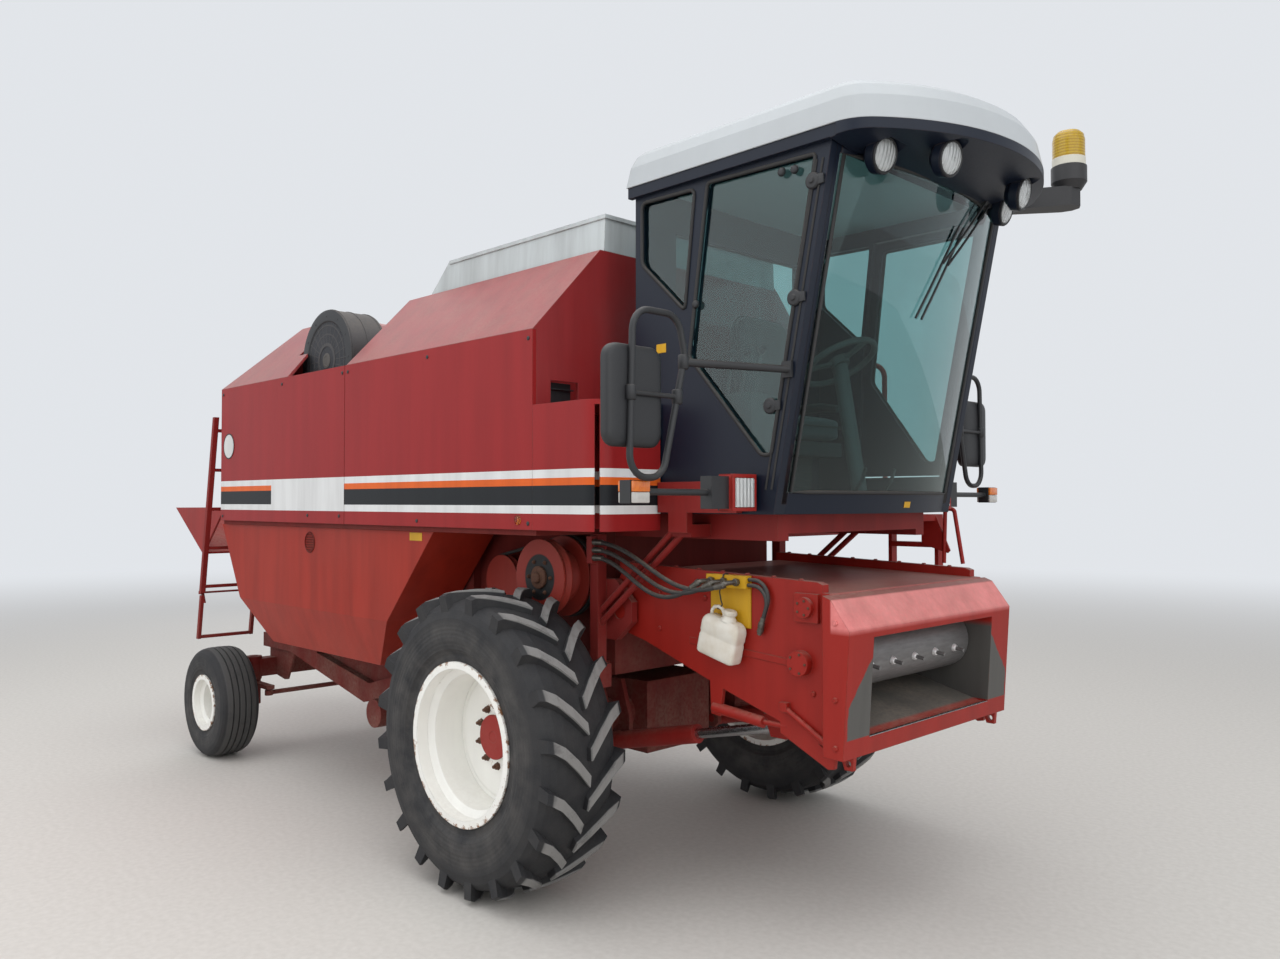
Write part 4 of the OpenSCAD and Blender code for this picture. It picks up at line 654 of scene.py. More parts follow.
# %% Glass and lamp plastic
def clear_finish(name, colour, roughness, smear=0.06, flutes=0.0, clear=1.0, daylight=None):
    material, tree, shader = new_material(name)
    where = machine_place(tree)
    shader.inputs["Roughness"].default_value = roughness
    if smear:
        film = between(tree, noise(tree, where, 5.0, 6.0, 0.7), 0.5, 0.9)
        tree.links.new(calc(tree, "ADD", times(tree, film, smear), roughness), shader.inputs["Roughness"])
    shader.inputs["Base Color"].default_value = (*colour, 1)
    shader.inputs["Transmission Weight"].default_value = clear
    shader.inputs["IOR"].default_value = 1.45
    if flutes:
        ribs = calc(tree, "SINE", times(tree, parts_of(tree, where)["Y"], flutes))
        bump(tree, shader, ribs, 0.7, 0.004)
    if daylight:
        let_in = node(tree, "BsdfTransparent", {"Color": (*daylight, 1)}).outputs[0]
        shown, rays = shader.outputs[0], node(tree, "LightPath").outputs
        for ray in ("Is Shadow Ray", "Is Reflection Ray"):
            shown = node(tree, "MixShader", {0: rays[ray], 1: shown, 2: let_in}).outputs[0]
        tree.links.new(shown, tree.nodes["Material Output"].inputs["Surface"])
    return material


cab_glass = clear_finish("cab_glass", (0.40, 0.59, 0.59), 0.0, smear=0.0, daylight=(0.63, 0.77, 0.77))
# Head and work lamp lenses are 45 % clear; the rest is near-white diffuse colour, painted brightness for the
# bowl seen through them.
head_lens_painted_bright = clear_finish("head_lamp_lens", (0.86, 0.88, 0.88), 0.04, flutes=260.0, clear=0.45)
work_lens_painted_bright = clear_finish("work_lamp_lens", (0.80, 0.83, 0.84), 0.04, flutes=300.0, clear=0.45)
amber_lens = clear_finish("amber_lens", (0.95, 0.30, 0.03), 0.12, flutes=1500.0)
print("four clear finishes")

# %% Mirror glass
mirror_glass, tree, shader = new_material("mirror_glass")
film = noise(tree, machine_place(tree), 9.0, 5.0)
tree.links.new(between(tree, film, -1.2, 9.0), shader.inputs["Roughness"])
shader.inputs["Base Color"].default_value = (0.75, 0.78, 0.8, 1)
shader.inputs["Metallic"].default_value = 1.0
print("a mirror")

# %% [markdown]
# The beacon is one moulding in CAD: black arm and dish, a pale ring, and the amber dome above it. The ring
# and dome begin at known heights, so the height chooses the colour. On the dome the amber is painted lighter
# on the rib crests and darker in the grooves: painted light and shade across each rib.

# %% Beacon finish
ring_begins, dome_begins = 3.704, 3.746
dish_black, ring_pale = (0.02, 0.02, 0.022, 1), (0.6, 0.58, 0.5, 1)
amber_rib_shade, amber_rib_lit = (0.34, 0.19, 0.002, 1), (0.46, 0.30, 0.009, 1)
beacon_finish, tree, shader = new_material("beacon_finish")
height = parts_of(tree, machine_place(tree))["Z"]
is_ring = calc(tree, "GREATER_THAN", height, ring_begins)
is_dome = calc(tree, "GREATER_THAN", height, dome_begins)
ribbed = calc(tree, "SINE", times(tree, height, 420.0))
# Painted light and shade: each rib's crest is painted lighter amber and its groove darker, in step with the
# bump.
amber = mix(tree, between(tree, ribbed, -1.0, 1.0), amber_rib_shade, amber_rib_lit)
colour = mix(tree, is_dome, mix(tree, is_ring, dish_black, ring_pale), amber)
tree.links.new(colour, shader.inputs["Base Color"])
tree.links.new(calc(tree, "SUBTRACT", 0.5, times(tree, is_dome, 0.32)), shader.inputs["Roughness"])
bump(tree, shader, times(tree, ribbed, is_dome), 0.2, 0.0015)
print("beacon in three colours")

# %% [markdown]
# At the feeder's mouth the crop has rubbed the paint away. The side plates are bare grey steel up to a
# slanting edge where the paint begins, and so is the tunnel. The up-facing top is made a paler, lighter pink,
# and the chamfer along the mouth's front edge carries a painted highlight, a near-white pink band. We give
# the feeder its own paint: position masks pick these places.

# %% Feeder paint
rubbed_steel = (0.095, 0.092, 0.086, 1)
pale_top_pink, chamfer_highlight_pink = (0.27, 0.095, 0.09, 1), (0.84, 0.27, 0.26, 1)
tunnel_side = 0.541
feeder_floor, plates_top, tunnel_top, chamfer_low = 0.96, 1.352, 1.36, 1.40
plates_front = at(1745, 0, 0).x
chamfer_front = at(1738, 0, 0).x


def worn_and_highlit_mouth(tree, paint):
    where = machine_place(tree)
    split = parts_of(tree, where)
    x, z = split["X"], split["Z"]
    y = calc(tree, "ABSOLUTE", split["Y"])
    above_floor = between(tree, z, feeder_floor, feeder_floor + 0.005)
    wander = times(tree, calc(tree, "SUBTRACT", noise(tree, where, 9.0, 5.0), 0.5), 0.06)
    reach = calc(tree, "SUBTRACT", 0.715, times(tree, between(tree, z, 1.10, 1.30), 0.18))
    inside = between(tree, calc(tree, "SUBTRACT", calc(tree, "ADD", y, wander), reach), 0.004, -0.004)
    front = between(tree, x, plates_front, plates_front + 0.007)
    plates = times(tree, inside, front, above_floor, between(tree, z, plates_top, plates_top - 0.01))
    tunnel = between(tree, y, tunnel_side + 0.0005, tunnel_side - 0.0005)
    tunnel = times(tree, tunnel, above_floor, between(tree, z, tunnel_top, tunnel_top - 0.03))
    # Up-facing faces above about 1.45 m are made a paler, lighter pink.
    facing_up = between(tree, parts_of(tree, node(tree, "NewGeometry").outputs["Normal"])["Z"], 0.3, 0.9)
    colour = mix(tree, times(tree, facing_up, between(tree, z, 1.45, 1.5), 0.7), paint, pale_top_pink)
    # Painted highlight: the chamfer along the mouth's front edge is painted a near-white pink, only a little
    # broken by scratches.
    chamfer = between(tree, x, chamfer_front, chamfer_front + 0.008)
    chamfer = times(tree, chamfer, between(tree, z, chamfer_low, chamfer_low + 0.03))
    scratched = between(tree, noise(tree, where, 9.0, 9.0, 0.75), 0.40, 0.66)
    chamfer_highlight = times(tree, chamfer, calc(tree, "ADD", 0.72, times(tree, scratched, 0.22)))
    colour = mix(tree, chamfer_highlight, colour, chamfer_highlight_pink)
    return mix(tree, calc(tree, "MAXIMUM", plates, tunnel), colour, rubbed_steel)


feeder_paint = enamel("feeder_enamel", (0.32, 0.016, 0.010), base=worn_and_highlit_mouth, gloss=0.22, streaks=0.3,
                      dust=0.35, splash_height=1.0, wear=0.9, roughness=0.4)
print("feeder paint ready")

# %% [markdown]
# The drive pulleys are painted red with a black rubbed hub, and the belts polish their grooves.

# %% Pulley paint
big_pulley = (50, 1560)


def belt_rubbed(tree, paint):
    distance = from_axle(tree, machine_place(tree), at(big_pulley[0], 0, big_pulley[1]))
    return mix(tree, between(tree, distance, 0.125, 0.118), paint, (0.015, 0.015, 0.016, 1))


pulley_paint = enamel("pulley_enamel", (0.32, 0.035, 0.024), base=belt_rubbed,
                      dust=0.3, wear=0.9, roughness=0.5)
print("pulley paint ready")

# %% [markdown]
# Now every CAD piece gets its finish. A piece's slot names what the record promises, and the table here
# picks the paint that the same place has on the real machine. At the end we count what was left out:
# the answer has to be none.

# %% Dress the CAD pieces
dress = {
    striped_red: "side_panel_left side_panel_right corner_panel",
    upper_red: "grain_tank engine_hood air_duct",
    red_enamel: "lift_barrel_left lift_barrel_right side_platform unloading_auger auger_upright straw_hood "
                "straw_deflector",
    cover_red: "lower_cover_left lower_cover_right",
    frame_red: "cab_frame rear_ladder rear_ladder_step",
    # under-body parts: red darkened as painted shade
    shade_darkened_red: "chassis threshing_body front_axle rear_axle knuckle_left knuckle_right track_rod",
    feeder_paint: "feeder_house",
    pulley_paint: "drive_pulleys",
    cream_enamel: "roof_cap",
    grey_white: "tank_extension",
    black_enamel: "cab_shell roof_visor cab_door",
    black_moulding: "mirror_left mirror_right lamp_bar_left lamp_bar_right",
    cab_grey: "cab_controls operator_seat",
    cab_glass: "windscreen cab_panes cab_door_glass",
    worn_steel: "feeder_drum",
    bright_steel: "lift_rod_left lift_rod_right",
    lamp_bowl: "work_lamps",
    dark_wire: "rotary_screen",
    engine_grey: "engine",
    beacon_finish: "beacon",
    yellow_enamel: "coupler_plate",
    milky_plastic: "canister",
    hose_black: "hydraulic_hoses",
}
for side, word in both_sides:
    dress[front_rubber[side]] = "tyre_front_" + word
    dress[rear_rubber[side]] = "tyre_rear_" + word
    dress[front_rim_paint[side]] = "rim_front_" + word
    dress[rear_rim_paint[side]] = "rim_rear_" + word
dressed = set()
for material, names in dress.items():
    for name in names.split():
        for spot in nodes[name].material_slots:
            spot.material = material
        dressed.add(name)
print(len(dressed), "pieces dressed, left out:", sorted(set(nodes) - dressed))

# %% [markdown]
# The floor is a plain pale plate, wide enough to run out behind the machine. It is stage, not part. Far
# from the machine the camera sees it fade into the surround's own colour, so no edge shows.

# %% Floor
floor_dark, floor_light = (0.60, 0.57, 0.53, 1), (0.66, 0.63, 0.59, 1)
fade_begins, fade_ends, floor_half = 6.0, 26.0, 40
floor_paint, tree, shader = new_material("floor_plaster")
where = machine_place(tree)
speckle = noise(tree, where, 30.0, 6.0)
plaster = mix(tree, between(tree, speckle, 0.3, 0.7), floor_dark, floor_light)
tree.links.new(plaster, shader.inputs["Base Color"])
shader.inputs["Roughness"].default_value = 0.8
bump(tree, shader, speckle, 0.15, 0.001)
far = node(tree, "VectorMath", {0: where}, operation="LENGTH").outputs["Value"]
horizon = node(tree, "Emission", {"Color": surround_colour, "Strength": 1.0}).outputs[0]
runs_out = between(tree, far, fade_begins, fade_ends, smooth=True)
runs_out = times(tree, runs_out, node(tree, "LightPath").outputs["Is Camera Ray"])
blend_out = node(tree, "MixShader", {0: runs_out, 1: shader.outputs[0], 2: horizon}).outputs[0]
tree.links.new(blend_out, tree.nodes["Material Output"].inputs["Surface"])
bm = bmesh.new()
block(bm, (-floor_half, -floor_half, -0.02), (floor_half, floor_half, 0))
floor = piece_from("floor", bm, floor_paint, body=None)
floor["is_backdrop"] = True
print("floor laid")

# %% [markdown]
# Three hydraulic hoses run from the bulkhead, sag beside the feeder house and climb to the couplers on its
# side. Each is a free cord of a fixed length, held at both ends, and the feeder lifts under it. So we first
# settle the route: straight out of the bulkhead's fitting, down in one soft bend, and up into an elbow. A
# Bezier curve gives that with no kink. The hose is a mesh tube along it.

# %% Route of a hose
def route(start, end, out, rise, drop, count=26):
    a, b = Vector(start), Vector(end)
    p1 = a + Vector((out, 0, -0.02))
    p2 = b + Vector((-rise, 0, -drop))
    points = [a + Vector((-0.035, 0, 0)), a + Vector((-0.017, 0, 0))]
    for i in range(count + 1):
        t = i / count
        points.append(a * (1 - t) ** 3 + p1 * 3 * t * (1 - t) ** 2 + p2 * 3 * t * t * (1 - t) + b * t ** 3)
    return points


# %% Hydraulic hoses
hose_y, block_face_y, gland_y = -808, -721, -742
coupler_z = 1590
nut_shape = [(0.017, -0.035), (0.017, -0.02), (0.0145, -0.018), (0.0145, 0.024), (0.0115, 0.028)]
sleeve_shape = [(0.0145, -0.035), (0.0145, 0.0), (0.017, 0.002), (0.017, 0.018), (0.012, 0.02)]
for k in range(3):
    coupler_x = 1080 + 75 * k
    foot = at(388.3, hose_y, 1670 + 40 * k)
    coupler = at(coupler_x - 22, hose_y, coupler_z - 12)
    points = route(foot, coupler, 0.24 + 0.05 * k, 0.30 + 0.02 * k, 0.205 - 0.045 * k)
    bm = bmesh.new()
    sweep(bm, points, 0.011, 14)
    hose = piece_from(f"hydraulic_hose_{k + 1}", bm, hose_black, body=None, smooth=60)
    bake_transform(hose)
    bm = bmesh.new()
    turned(bm, nut_shape, foot, (1, 0, 0), 12)
    nut = piece_from(f"hose_nut_{k + 1}", bm, fitting_steel, smooth=50)
    bm = bmesh.new()
    along = (points[-1] - points[-3]).normalized()
    turned(bm, sleeve_shape, coupler, along, 12)
    heart = at(coupler_x, hose_y, coupler_z)
    bend = [coupler + along * 0.01, heart - along * 0.004, heart + Vector((0, 0.006, 0))]
    sweep(bm, bend + [at(coupler_x, block_face_y, coupler_z)], 0.0115, 12)
    turned(bm, [(0.018, 0), (0.018, 0.02)], at(coupler_x, gland_y, coupler_z), (0, 1, 0), 6)
    elbow = piece_from(f"hose_elbow_{k + 1}", bm, fitting_steel, "feeder", smooth=50)
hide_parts("hydraulic_hoses")

# %% [markdown]
# The drive wheels are bolted on with ten studs round a flat red cap. Nuts this size rust long before the
# rim does. All nuts of a wheel are one mesh: a hexagon is a turned part with six steps.

# %% Rings of nuts
def round_spots(centre, ring, count, turn=0.0):
    turns = [2 * math.pi * i / count + turn for i in range(count)]
    return [Vector(centre) + Vector((math.cos(a), 0, math.sin(a))) * ring for a in turns]


def nuts(bm, centre, axis, ring, count, size, height, stud=0.0, turn=0.0):
    hexagon = [(size * 1.25, 0), (size * 1.25, height * 0.2), (size, height * 0.22), (size, height * 0.9),
               (size * 0.86, height)]
    bolt_end = [(size * 0.55, height * 0.9), (size * 0.55, height + stud), (size * 0.42, height + stud * 1.2)]
    for spot in round_spots(centre, ring, count, turn):
        turned(bm, hexagon, spot, axis, 6)
        if stud:
            turned(bm, bolt_end, spot, axis, 10)


print("helpers: round_spots, nuts")


# %% Wheel bolts and caps
def beside(centre, side, inward):
    return centre + Vector((0, -side * inward, 0))


front_cap = [(0.1135, 0), (0.1135, 0.005), (0.110, 0.010), (0.030, 0.011), (0.028, 0.009), (0.006, 0.009)]
rear_cap = [(0.050, 0), (0.050, 0.012), (0.044, 0.020), (0.012, 0.024)]
for side, word in both_sides:
    axis = (0, side, 0)
    front, rear = front_wheel[side], rear_wheel[side]
    bm = bmesh.new()
    nuts(bm, beside(front, side, 0.036), axis, front_bolt_ring, 10, 0.0165, 0.020, 0.012, 0.3)
    piece_from("wheel_nuts_front_" + word, bm, rusty_steel, "wheel_front_" + word, smooth=25)
    bm = bmesh.new()
    turned(bm, front_cap, beside(front, side, 0.0098), axis, 56)
    piece_from("hub_cap_front_" + word, bm, red_enamel, "wheel_front_" + word)
    bm = bmesh.new()
    valve = front + Vector((0.27, side * 0.03, -0.20))
    stem = [Vector((-0.012, side * 0.03, 0.010)), Vector((-0.020, side * 0.05, 0.014))]
    sweep(bm, [valve] + [valve + step for step in stem], 0.006, 10)
    piece_from("tyre_valve_front_" + word, bm, soft_black, "wheel_front_" + word, smooth=60)
    bm = bmesh.new()
    nuts(bm, beside(rear, side, 0.040), axis, rear_bolt_ring, 6, 0.012, 0.014, 0.009)
    piece_from("wheel_nuts_rear_" + word, bm, rusty_steel, "wheel_rear_" + word, smooth=25)
    bm = bmesh.new()
    turned(bm, rear_cap, beside(rear, side, 0.0049), axis, 40)
    piece_from("hub_cap_rear_" + word, bm, cream_enamel, "wheel_rear_" + word)
print("nuts and caps on four wheels, valves on the front ones")

# %% [markdown]
# The air screen turns in front of the radiator and keeps chaff out. Its face is fine wire mesh in a flat
# bolted ring. At this size the mesh is a surface, not single wires, so a disc carries a woven bump pattern,
# and three steel bands and a centre plate finish the drum.

# %% Wire mesh
wires_per_metre = 1250.0
wire_dark, wire_light = (0.050, 0.053, 0.062, 1), (0.075, 0.077, 0.085, 1)
wire_gap = (0.018, 0.019, 0.023, 1)
weave, tree, shader = new_material("screen_weave")
where = machine_place(tree)
split = parts_of(tree, where)
crossing = [calc(tree, "SINE", times(tree, split[way], wires_per_metre)) for way in ("X", "Z")]
wires = calc(tree, "MAXIMUM", *crossing)
wire_colour = mix(tree, between(tree, noise(tree, where, 6.0, 5.0), 0.3, 0.7), wire_dark, wire_light)
tree.links.new(mix(tree, between(tree, wires, 0.2, 0.8), wire_gap, wire_colour), shader.inputs["Base Color"])
shader.inputs["Roughness"].default_value = 0.6
shader.inputs["Metallic"].default_value = 0.4
bump(tree, shader, wires, 0.6, 0.001)
print("wire mesh ready")

# %% Air screen
screen_middle = at(-2150, 0, 2915)
outward = (0, -1, 0)
mesh_r, ring_r, drum_r = 0.262, 0.345, 0.3455
face_y, bolts_y, plate_y = -0.9938, -1.0020, -0.9975


def on_screen_axis(y):
    return screen_middle + Vector((0, y, 0))


bm = bmesh.new()
turned(bm, [(mesh_r, 0), (mesh_r, 0.003), (0.020, 0.004)], on_screen_axis(face_y), outward, 72)
piece_from("screen_weave", bm, weave, "rotary_screen")
bm = bmesh.new()
ring = [(ring_r, 0), (ring_r, 0.005), (0.334, 0.009), (0.272, 0.009), (mesh_r, 0.0015), (mesh_r, 0)]
turned(bm, ring, on_screen_axis(face_y), outward, 72, closed=True)
nuts(bm, on_screen_axis(bolts_y), outward, 0.303, 12, 0.006, 0.003)
piece_from("screen_face_ring", bm, black_moulding, "rotary_screen")
bm = bmesh.new()
pressed = [(0.052, 0), (0.052, 0.003), (0.034, 0.0045), (0.032, 0.003), (0.01, 0.003)]
turned(bm, pressed, on_screen_axis(plate_y), outward, 48)
piece_from("screen_centre_plate", bm, engine_grey, "rotary_screen")
bm = bmesh.new()
band = [(drum_r, -0.006), (0.349, -0.004), (0.349, 0.004), (drum_r, 0.006)]
for y in (-0.985, -0.87, -0.745):
    turned(bm, band, on_screen_axis(y), (0, 1, 0), 72, closed=True)
piece_from("screen_bands", bm, dark_wire, "rotary_screen")
print("air screen: weave, face ring, centre plate, three bands")

# %% [markdown]
# The round speed sign is left as a blank white disc with a black rim. The yellow stickers are blank too.
# Small bolt heads, clips and a reflector sit along the panels' lower edge, and the lower cover has a round
# vent patch under its hinge. They are pressed or screwed parts a few millimetres high.

# %% Vent and sticker on a lower cover
def upright(x0, x1, y, z0, z1):
    return [at(x0, y, z0), at(x1, y, z0), at(x1, y, z1), at(x0, y, z1)]


cover_y, vent_r, bar_step, bar_half = 1150.2, 0.062, 0.0165, 0.003
vent_shape = [(0.070, 0), (0.070, 0.003), (vent_r, 0.005), (vent_r, 0.001)]
bar_back, bar_face = Vector((0, -0.001, 0)), Vector((0, 0.003, 0))


def cover_fittings(side, word):
    y = side * cover_y
    bm = bmesh.new()
    vent = at(-2069, y, 1690)
    turned(bm, vent_shape, vent, (0, side, 0), 40, closed=True)
    for i in range(-3, 4):
        off = i * bar_step
        half = math.sqrt(vent_r ** 2 - off ** 2)
        level, post = Vector((half, 0, bar_half)), Vector((bar_half, 0, half))
        for spot, reach in ((Vector((0, 0, off)), level), (Vector((off, 0, 0)), post)):
            block(bm, vent + spot - reach + bar_back, vent + spot + reach + bar_face)
    # The vent patch takes the red darkened as painted shade.
    piece_from("vent_patch_" + word, bm, shade_darkened_red, "lower_cover_" + word)
    bm = bmesh.new()
    plate(bm, upright(-845, -715, y, 1735, 1782), (0, side * 0.001, 0))
    piece_from("blank_sticker_" + word, bm, yellow_enamel, "lower_cover_" + word)


print("helpers: upright, cover_fittings")

# %% Signs and panel fittings
panel_y, sign_r, sign_x, sign_z = 1195.2, 0.094, -3276, 2370
disc_shape = [(sign_r, 0), (sign_r, 0.0015), (0.05, 0.0018), (0.02, 0.0018)]
rim_shape = [(sign_r, 0), (sign_r, 0.003), (0.087, 0.003), (0.087, 0)]
bolt_shape = [(0.011, 0), (0.011, 0.002), (0.007, 0.005), (0.003, 0.005)]
reflector_shape = [(0.024, 0), (0.024, 0.004), (0.018, 0.009), (0.006, 0.0105)]
bolt_rows = {1868: (-2015, -1593), 1850: (-3380, -700, 300), 2760: (-3380, -2400, -1560, -1490, -600, 300)}
for side, word in both_sides:
    out = (0, side, 0)
    y = side * panel_y
    bm = bmesh.new()
    turned(bm, disc_shape, at(sign_x, y, sign_z), out, 48)
    piece_from("round_sign_" + word, bm, sign_white)
    bm = bmesh.new()
    turned(bm, rim_shape, at(sign_x, y, sign_z), out, 48, closed=True)
    piece_from("round_sign_rim_" + word, bm, black_moulding)
    bm = bmesh.new()
    for z, row in bolt_rows.items():
        for x in row:
            turned(bm, bolt_shape, at(x, y, z), out, 14)
    piece_from("panel_bolts_" + word, bm, black_moulding)
    bm = bmesh.new()
    turned(bm, reflector_shape, at(220, y, 1866), out, 28)
    piece_from("side_reflector_" + word, bm, amber_lens)
    bm = bmesh.new()
    for x in (-2883, -1900, -626):
        block(bm, at(x - 34, side * 1160 - 6, 1806), at(x + 34, side * 1160 + 6, 1817.5))
    piece_from("cover_clips_" + word, bm, frame_red, bevel=0.003)
    cover_fittings(side, word)
print("signs, bolts, reflectors, clips, vents and stickers on both sides")

# %% Tank window and the cab's sticker
bm = bmesh.new()
block(bm, at(273.3, -1078, 2432), at(276, -902, 2558))
block(bm, at(275.8, -1078, 2520), at(303, -902, 2526))
piece_from("tank_window", bm, black_moulding, bevel=0.0008)
bm = bmesh.new()
plate(bm, upright(765, 830, -770.3, 2678, 2722), (0, -0.001, 0))
piece_from("blank_sticker_cab", bm, yellow_enamel)
print("the tank's small window and a blank sticker on the cab")

# %% [markdown]
# The cab's right side is one large pane that swings out for washing: two latches, two knobs and three round
# hinges hold it to the leaning post. Rubber profiles frame every pane. The profile is a tube swept along
# the opening's own outline, so it sits exactly on the glass edge.

# %% Outlines with rounded corners
def ways_from(points, i):
    p, before, after = Vector(points[i]), Vector(points[i - 1]), Vector(points[(i + 1) % len(points)])
    return p, (before - p).normalized(), (after - p).normalized()


def rounded_outline(points, reach):
    outline = []
    for i in range(len(points)):
        p, back, ahead = ways_from(points, i)
        cut, swing = (back + ahead) * reach * 0.29, (back - ahead) * reach * 0.2
        outline += [p + back * reach, p + cut + swing, p + cut - swing, p + ahead * reach]
    return outline


print("helpers: ways_from, rounded_outline")

# %% Cab window seals
glass_y, seal_y, seal_r = -770.3, 771.5, 0.009
quarter_pane = rounded_outline([(668, 3435), (1020, 3428), (955, 2862), (668, 3128)], 32)
side_pane = rounded_outline([(1100, 3440), (1708, 3425), (1466, 2162), (1412, 2162), (982, 2640)], 20)
door_pane = rounded_outline([(1095, 3385), (1650, 3385), (1410, 2170), (1350, 2170), (1010, 2640)], 24)


def seal(bm, outline, side):
    sweep(bm, [at(x, side * seal_y, z) for x, z in outline], seal_r, 8, closed=True)


bm = bmesh.new()
seal(bm, quarter_pane, right)
seal(bm, quarter_pane, left)
seal(bm, side_pane, right)
piece_from("pane_seals", bm, soft_black, smooth=60)
bm = bmesh.new()
seal(bm, door_pane, left)
piece_from("door_pane_seal", bm, soft_black, "cab_door", smooth=60)
print("four seals")

# %% Side pane's hinges and the post's strips
hinge_shape = [(0.036, 0), (0.036, 0.010), (0.030, 0.016), (0.014, 0.017), (0.012, 0.024), (0.004, 0.024)]
knob_shape = [(0.020, 0), (0.020, 0.006), (0.015, 0.014), (0.005, 0.017)]
bm = bmesh.new()
for x, z in ((1709, 3312), (1611, 2830), (1479, 2375)):
    turned(bm, hinge_shape, at(x - 14, glass_y, z), outward, 28)
    leaf = [(x - 10, z - 24), (x + 42, z - 20), (x + 42, z + 20), (x - 10, z + 24)]
    plate(bm, [at(leaf_x, -771, leaf_z) for leaf_x, leaf_z in leaf], (0, -0.012, 0))
for x, z in ((1530, 3388), (1599, 3383), (1026, 2882)):
    turned(bm, knob_shape, at(x, glass_y, z), outward, 24)
piece_from("side_pane_hinges", bm, black_moulding, bevel=0.001)
bm = bmesh.new()
screen_lean = math.radians(11.3)
lean = math.tan(screen_lean)
screen_foot_x, screen_foot_z = 1505, 2050
for offset in (-30, -62):
    strip = [(screen_foot_x + lean * (z - screen_foot_z) + offset, z) for z in (2010, 2400, 2900, 3400)]
    sweep(bm, [at(x, -771, z) for x, z in strip], 0.0055, 8)
piece_from("front_post_strips", bm, soft_black, smooth=60)
print("hinges, knobs and post strips")

# %% [markdown]
# Two wipers hang from the header over the windscreen's left half. The screen is bowed, so a wiper arm
# placed in a flat plane would sink into it. A small function gives the screen's surface for any height
# and side, and the arms and blades follow it a few millimetres outside.

# %% The bowed windscreen's surface
bow_r, screen_half = 2400, 700


def on_screen(y, z, off=0.0):
    bow = bow_r - math.sqrt(bow_r ** 2 - screen_half ** 2)
    reach = math.sqrt((bow_r + off) ** 2 - y * y) - bow_r
    return at(screen_foot_x + bow + lean * (z - screen_foot_z) + reach / math.cos(screen_lean), y, z)


def across_screen(bm, start, end, off_start, off_end):
    points = []
    for t in (0, 0.25, 0.5, 0.75, 1):
        y, z = start[0] + (end[0] - start[0]) * t, start[1] + (end[1] - start[1]) * t
        points.append(on_screen(y, z, off_start + (off_end - off_start) * t))
    sweep(bm, points, 0.006, 8)


print("screen's middle at sill height:", rounded(on_screen(0, screen_foot_z)))

# %% Windscreen wipers and seal
bm = bmesh.new()
for k in range(2):
    top, low = (470 - 60 * k, 3440), (120 - 50 * k, 3080)
    across_screen(bm, top, low, 34, 20)
    across_screen(bm, (low[0] + 105, low[1] + 190), (low[0] - 150, low[1] - 270), 14, 14)
    turned(bm, [(0.022, -0.012), (0.022, 0.02), (0.014, 0.026)], on_screen(*top, 14), (1, 0, -0.2), 20)
piece_from("screen_wipers", bm, black_moulding, smooth=60)
bm = bmesh.new()
low_edge = [on_screen(y, 1999, 3) for y in range(-680, 681, 85)]
high_edge = [on_screen(y, 3426, 3) for y in range(680, -681, -85)]
sweep(bm, low_edge + high_edge, seal_r, 8, closed=True)
piece_from("windscreen_seal", bm, soft_black, smooth=60)
bm = bmesh.new()
sticker = [(128, 1926), (192, 1926), (192, 1956), (128, 1956)]
plate(bm, [on_screen(y, z, 0.3) for y, z in sticker], (0.001, 0, 0.0002))
piece_from("blank_sticker_sill", bm, yellow_enamel)
print("two wipers, the windscreen's seal and a blank sticker")

# %% [markdown]
# Lamps are small boxes with a bright bowl behind a lens. The lens alone would look black on the dark
# housing, so a polished bowl with a bulb cap goes behind it, and the light that enters comes back out. The
# lenses are only partly clear: the rest is a near-white diffuse layer, painted brightness for the bowl behind.

# %% A head lamp
lamp_y, lamp_z, lamp_half, lamp_back = 868.3, 1996, 81, 1385.3
bowl_shape = [(0.062, 0.009), (0.045, 0.003), (0.022, 0.001), (0.021, 0.006), (0.012, 0.008)]


def square_frame(bm, x0, x1, y, z, thick, side_thick, side_half):
    for edge in (1, -1):
        z0, z1 = sorted((edge * lamp_half, edge * (lamp_half - thick)))
        block(bm, at(x0, y - lamp_half, z + z0), at(x1, y + lamp_half, z + z1))
        y0, y1 = sorted((edge * lamp_half, edge * (lamp_half - side_thick)))
        block(bm, at(x0, y + y0, z - side_half), at(x1, y + y1, z + side_half))


def head_lamp(side, word):
    y = side * lamp_y
    bm = bmesh.new()
    square_frame(bm, lamp_back, 1397, y, lamp_z, 17, 17, lamp_half - 17)
    square_frame(bm, 1318, 1386, y, lamp_z, 2.7, 2.5, lamp_half)
    piece_from("head_lamp_frame_" + word, bm, red_enamel, bevel=0.0015)
    bm = bmesh.new()
    turned(bm, bowl_shape, at(lamp_back, y, lamp_z), (1, 0, 0), 36)
    piece_from("head_lamp_bowl_" + word, bm, lamp_bowl)
    bm = bmesh.new()
    block(bm, at(1395, y - 63, lamp_z - 63), at(1400, y + 63, lamp_z + 63))
    piece_from("head_lamp_lens_" + word, bm, head_lens_painted_bright, bevel=0.0018)


print("helpers: square_frame, head_lamp")

# %% Head lamps and flashing lamps
flasher_x, flasher_ends, flasher_face = 1345, (1443, 1537), 30.3
flashers = (("flasher_amber_", flasher_amber, "amber_plastic", 44, 1996, 2040),
            ("flasher_clear_", flasher_clear, "lamp_plastic", 42, 1952, 1995))
for side, word in both_sides:
    head_lamp(side, word)
    y0, y1 = sorted(side * y for y in flasher_ends)
    for name, finish, slot, deep, low, high in flashers:
        bm = bmesh.new()
        for face in (-1, 1):
            x0, x1 = flasher_x + face * flasher_face, flasher_x + face * deep
            block(bm, at(x0, y0, low), at(x1, y1, high))
        piece_from(name + word, bm, finish, bevel=0.005)
print("head lamps and flashing lamps on both sides")

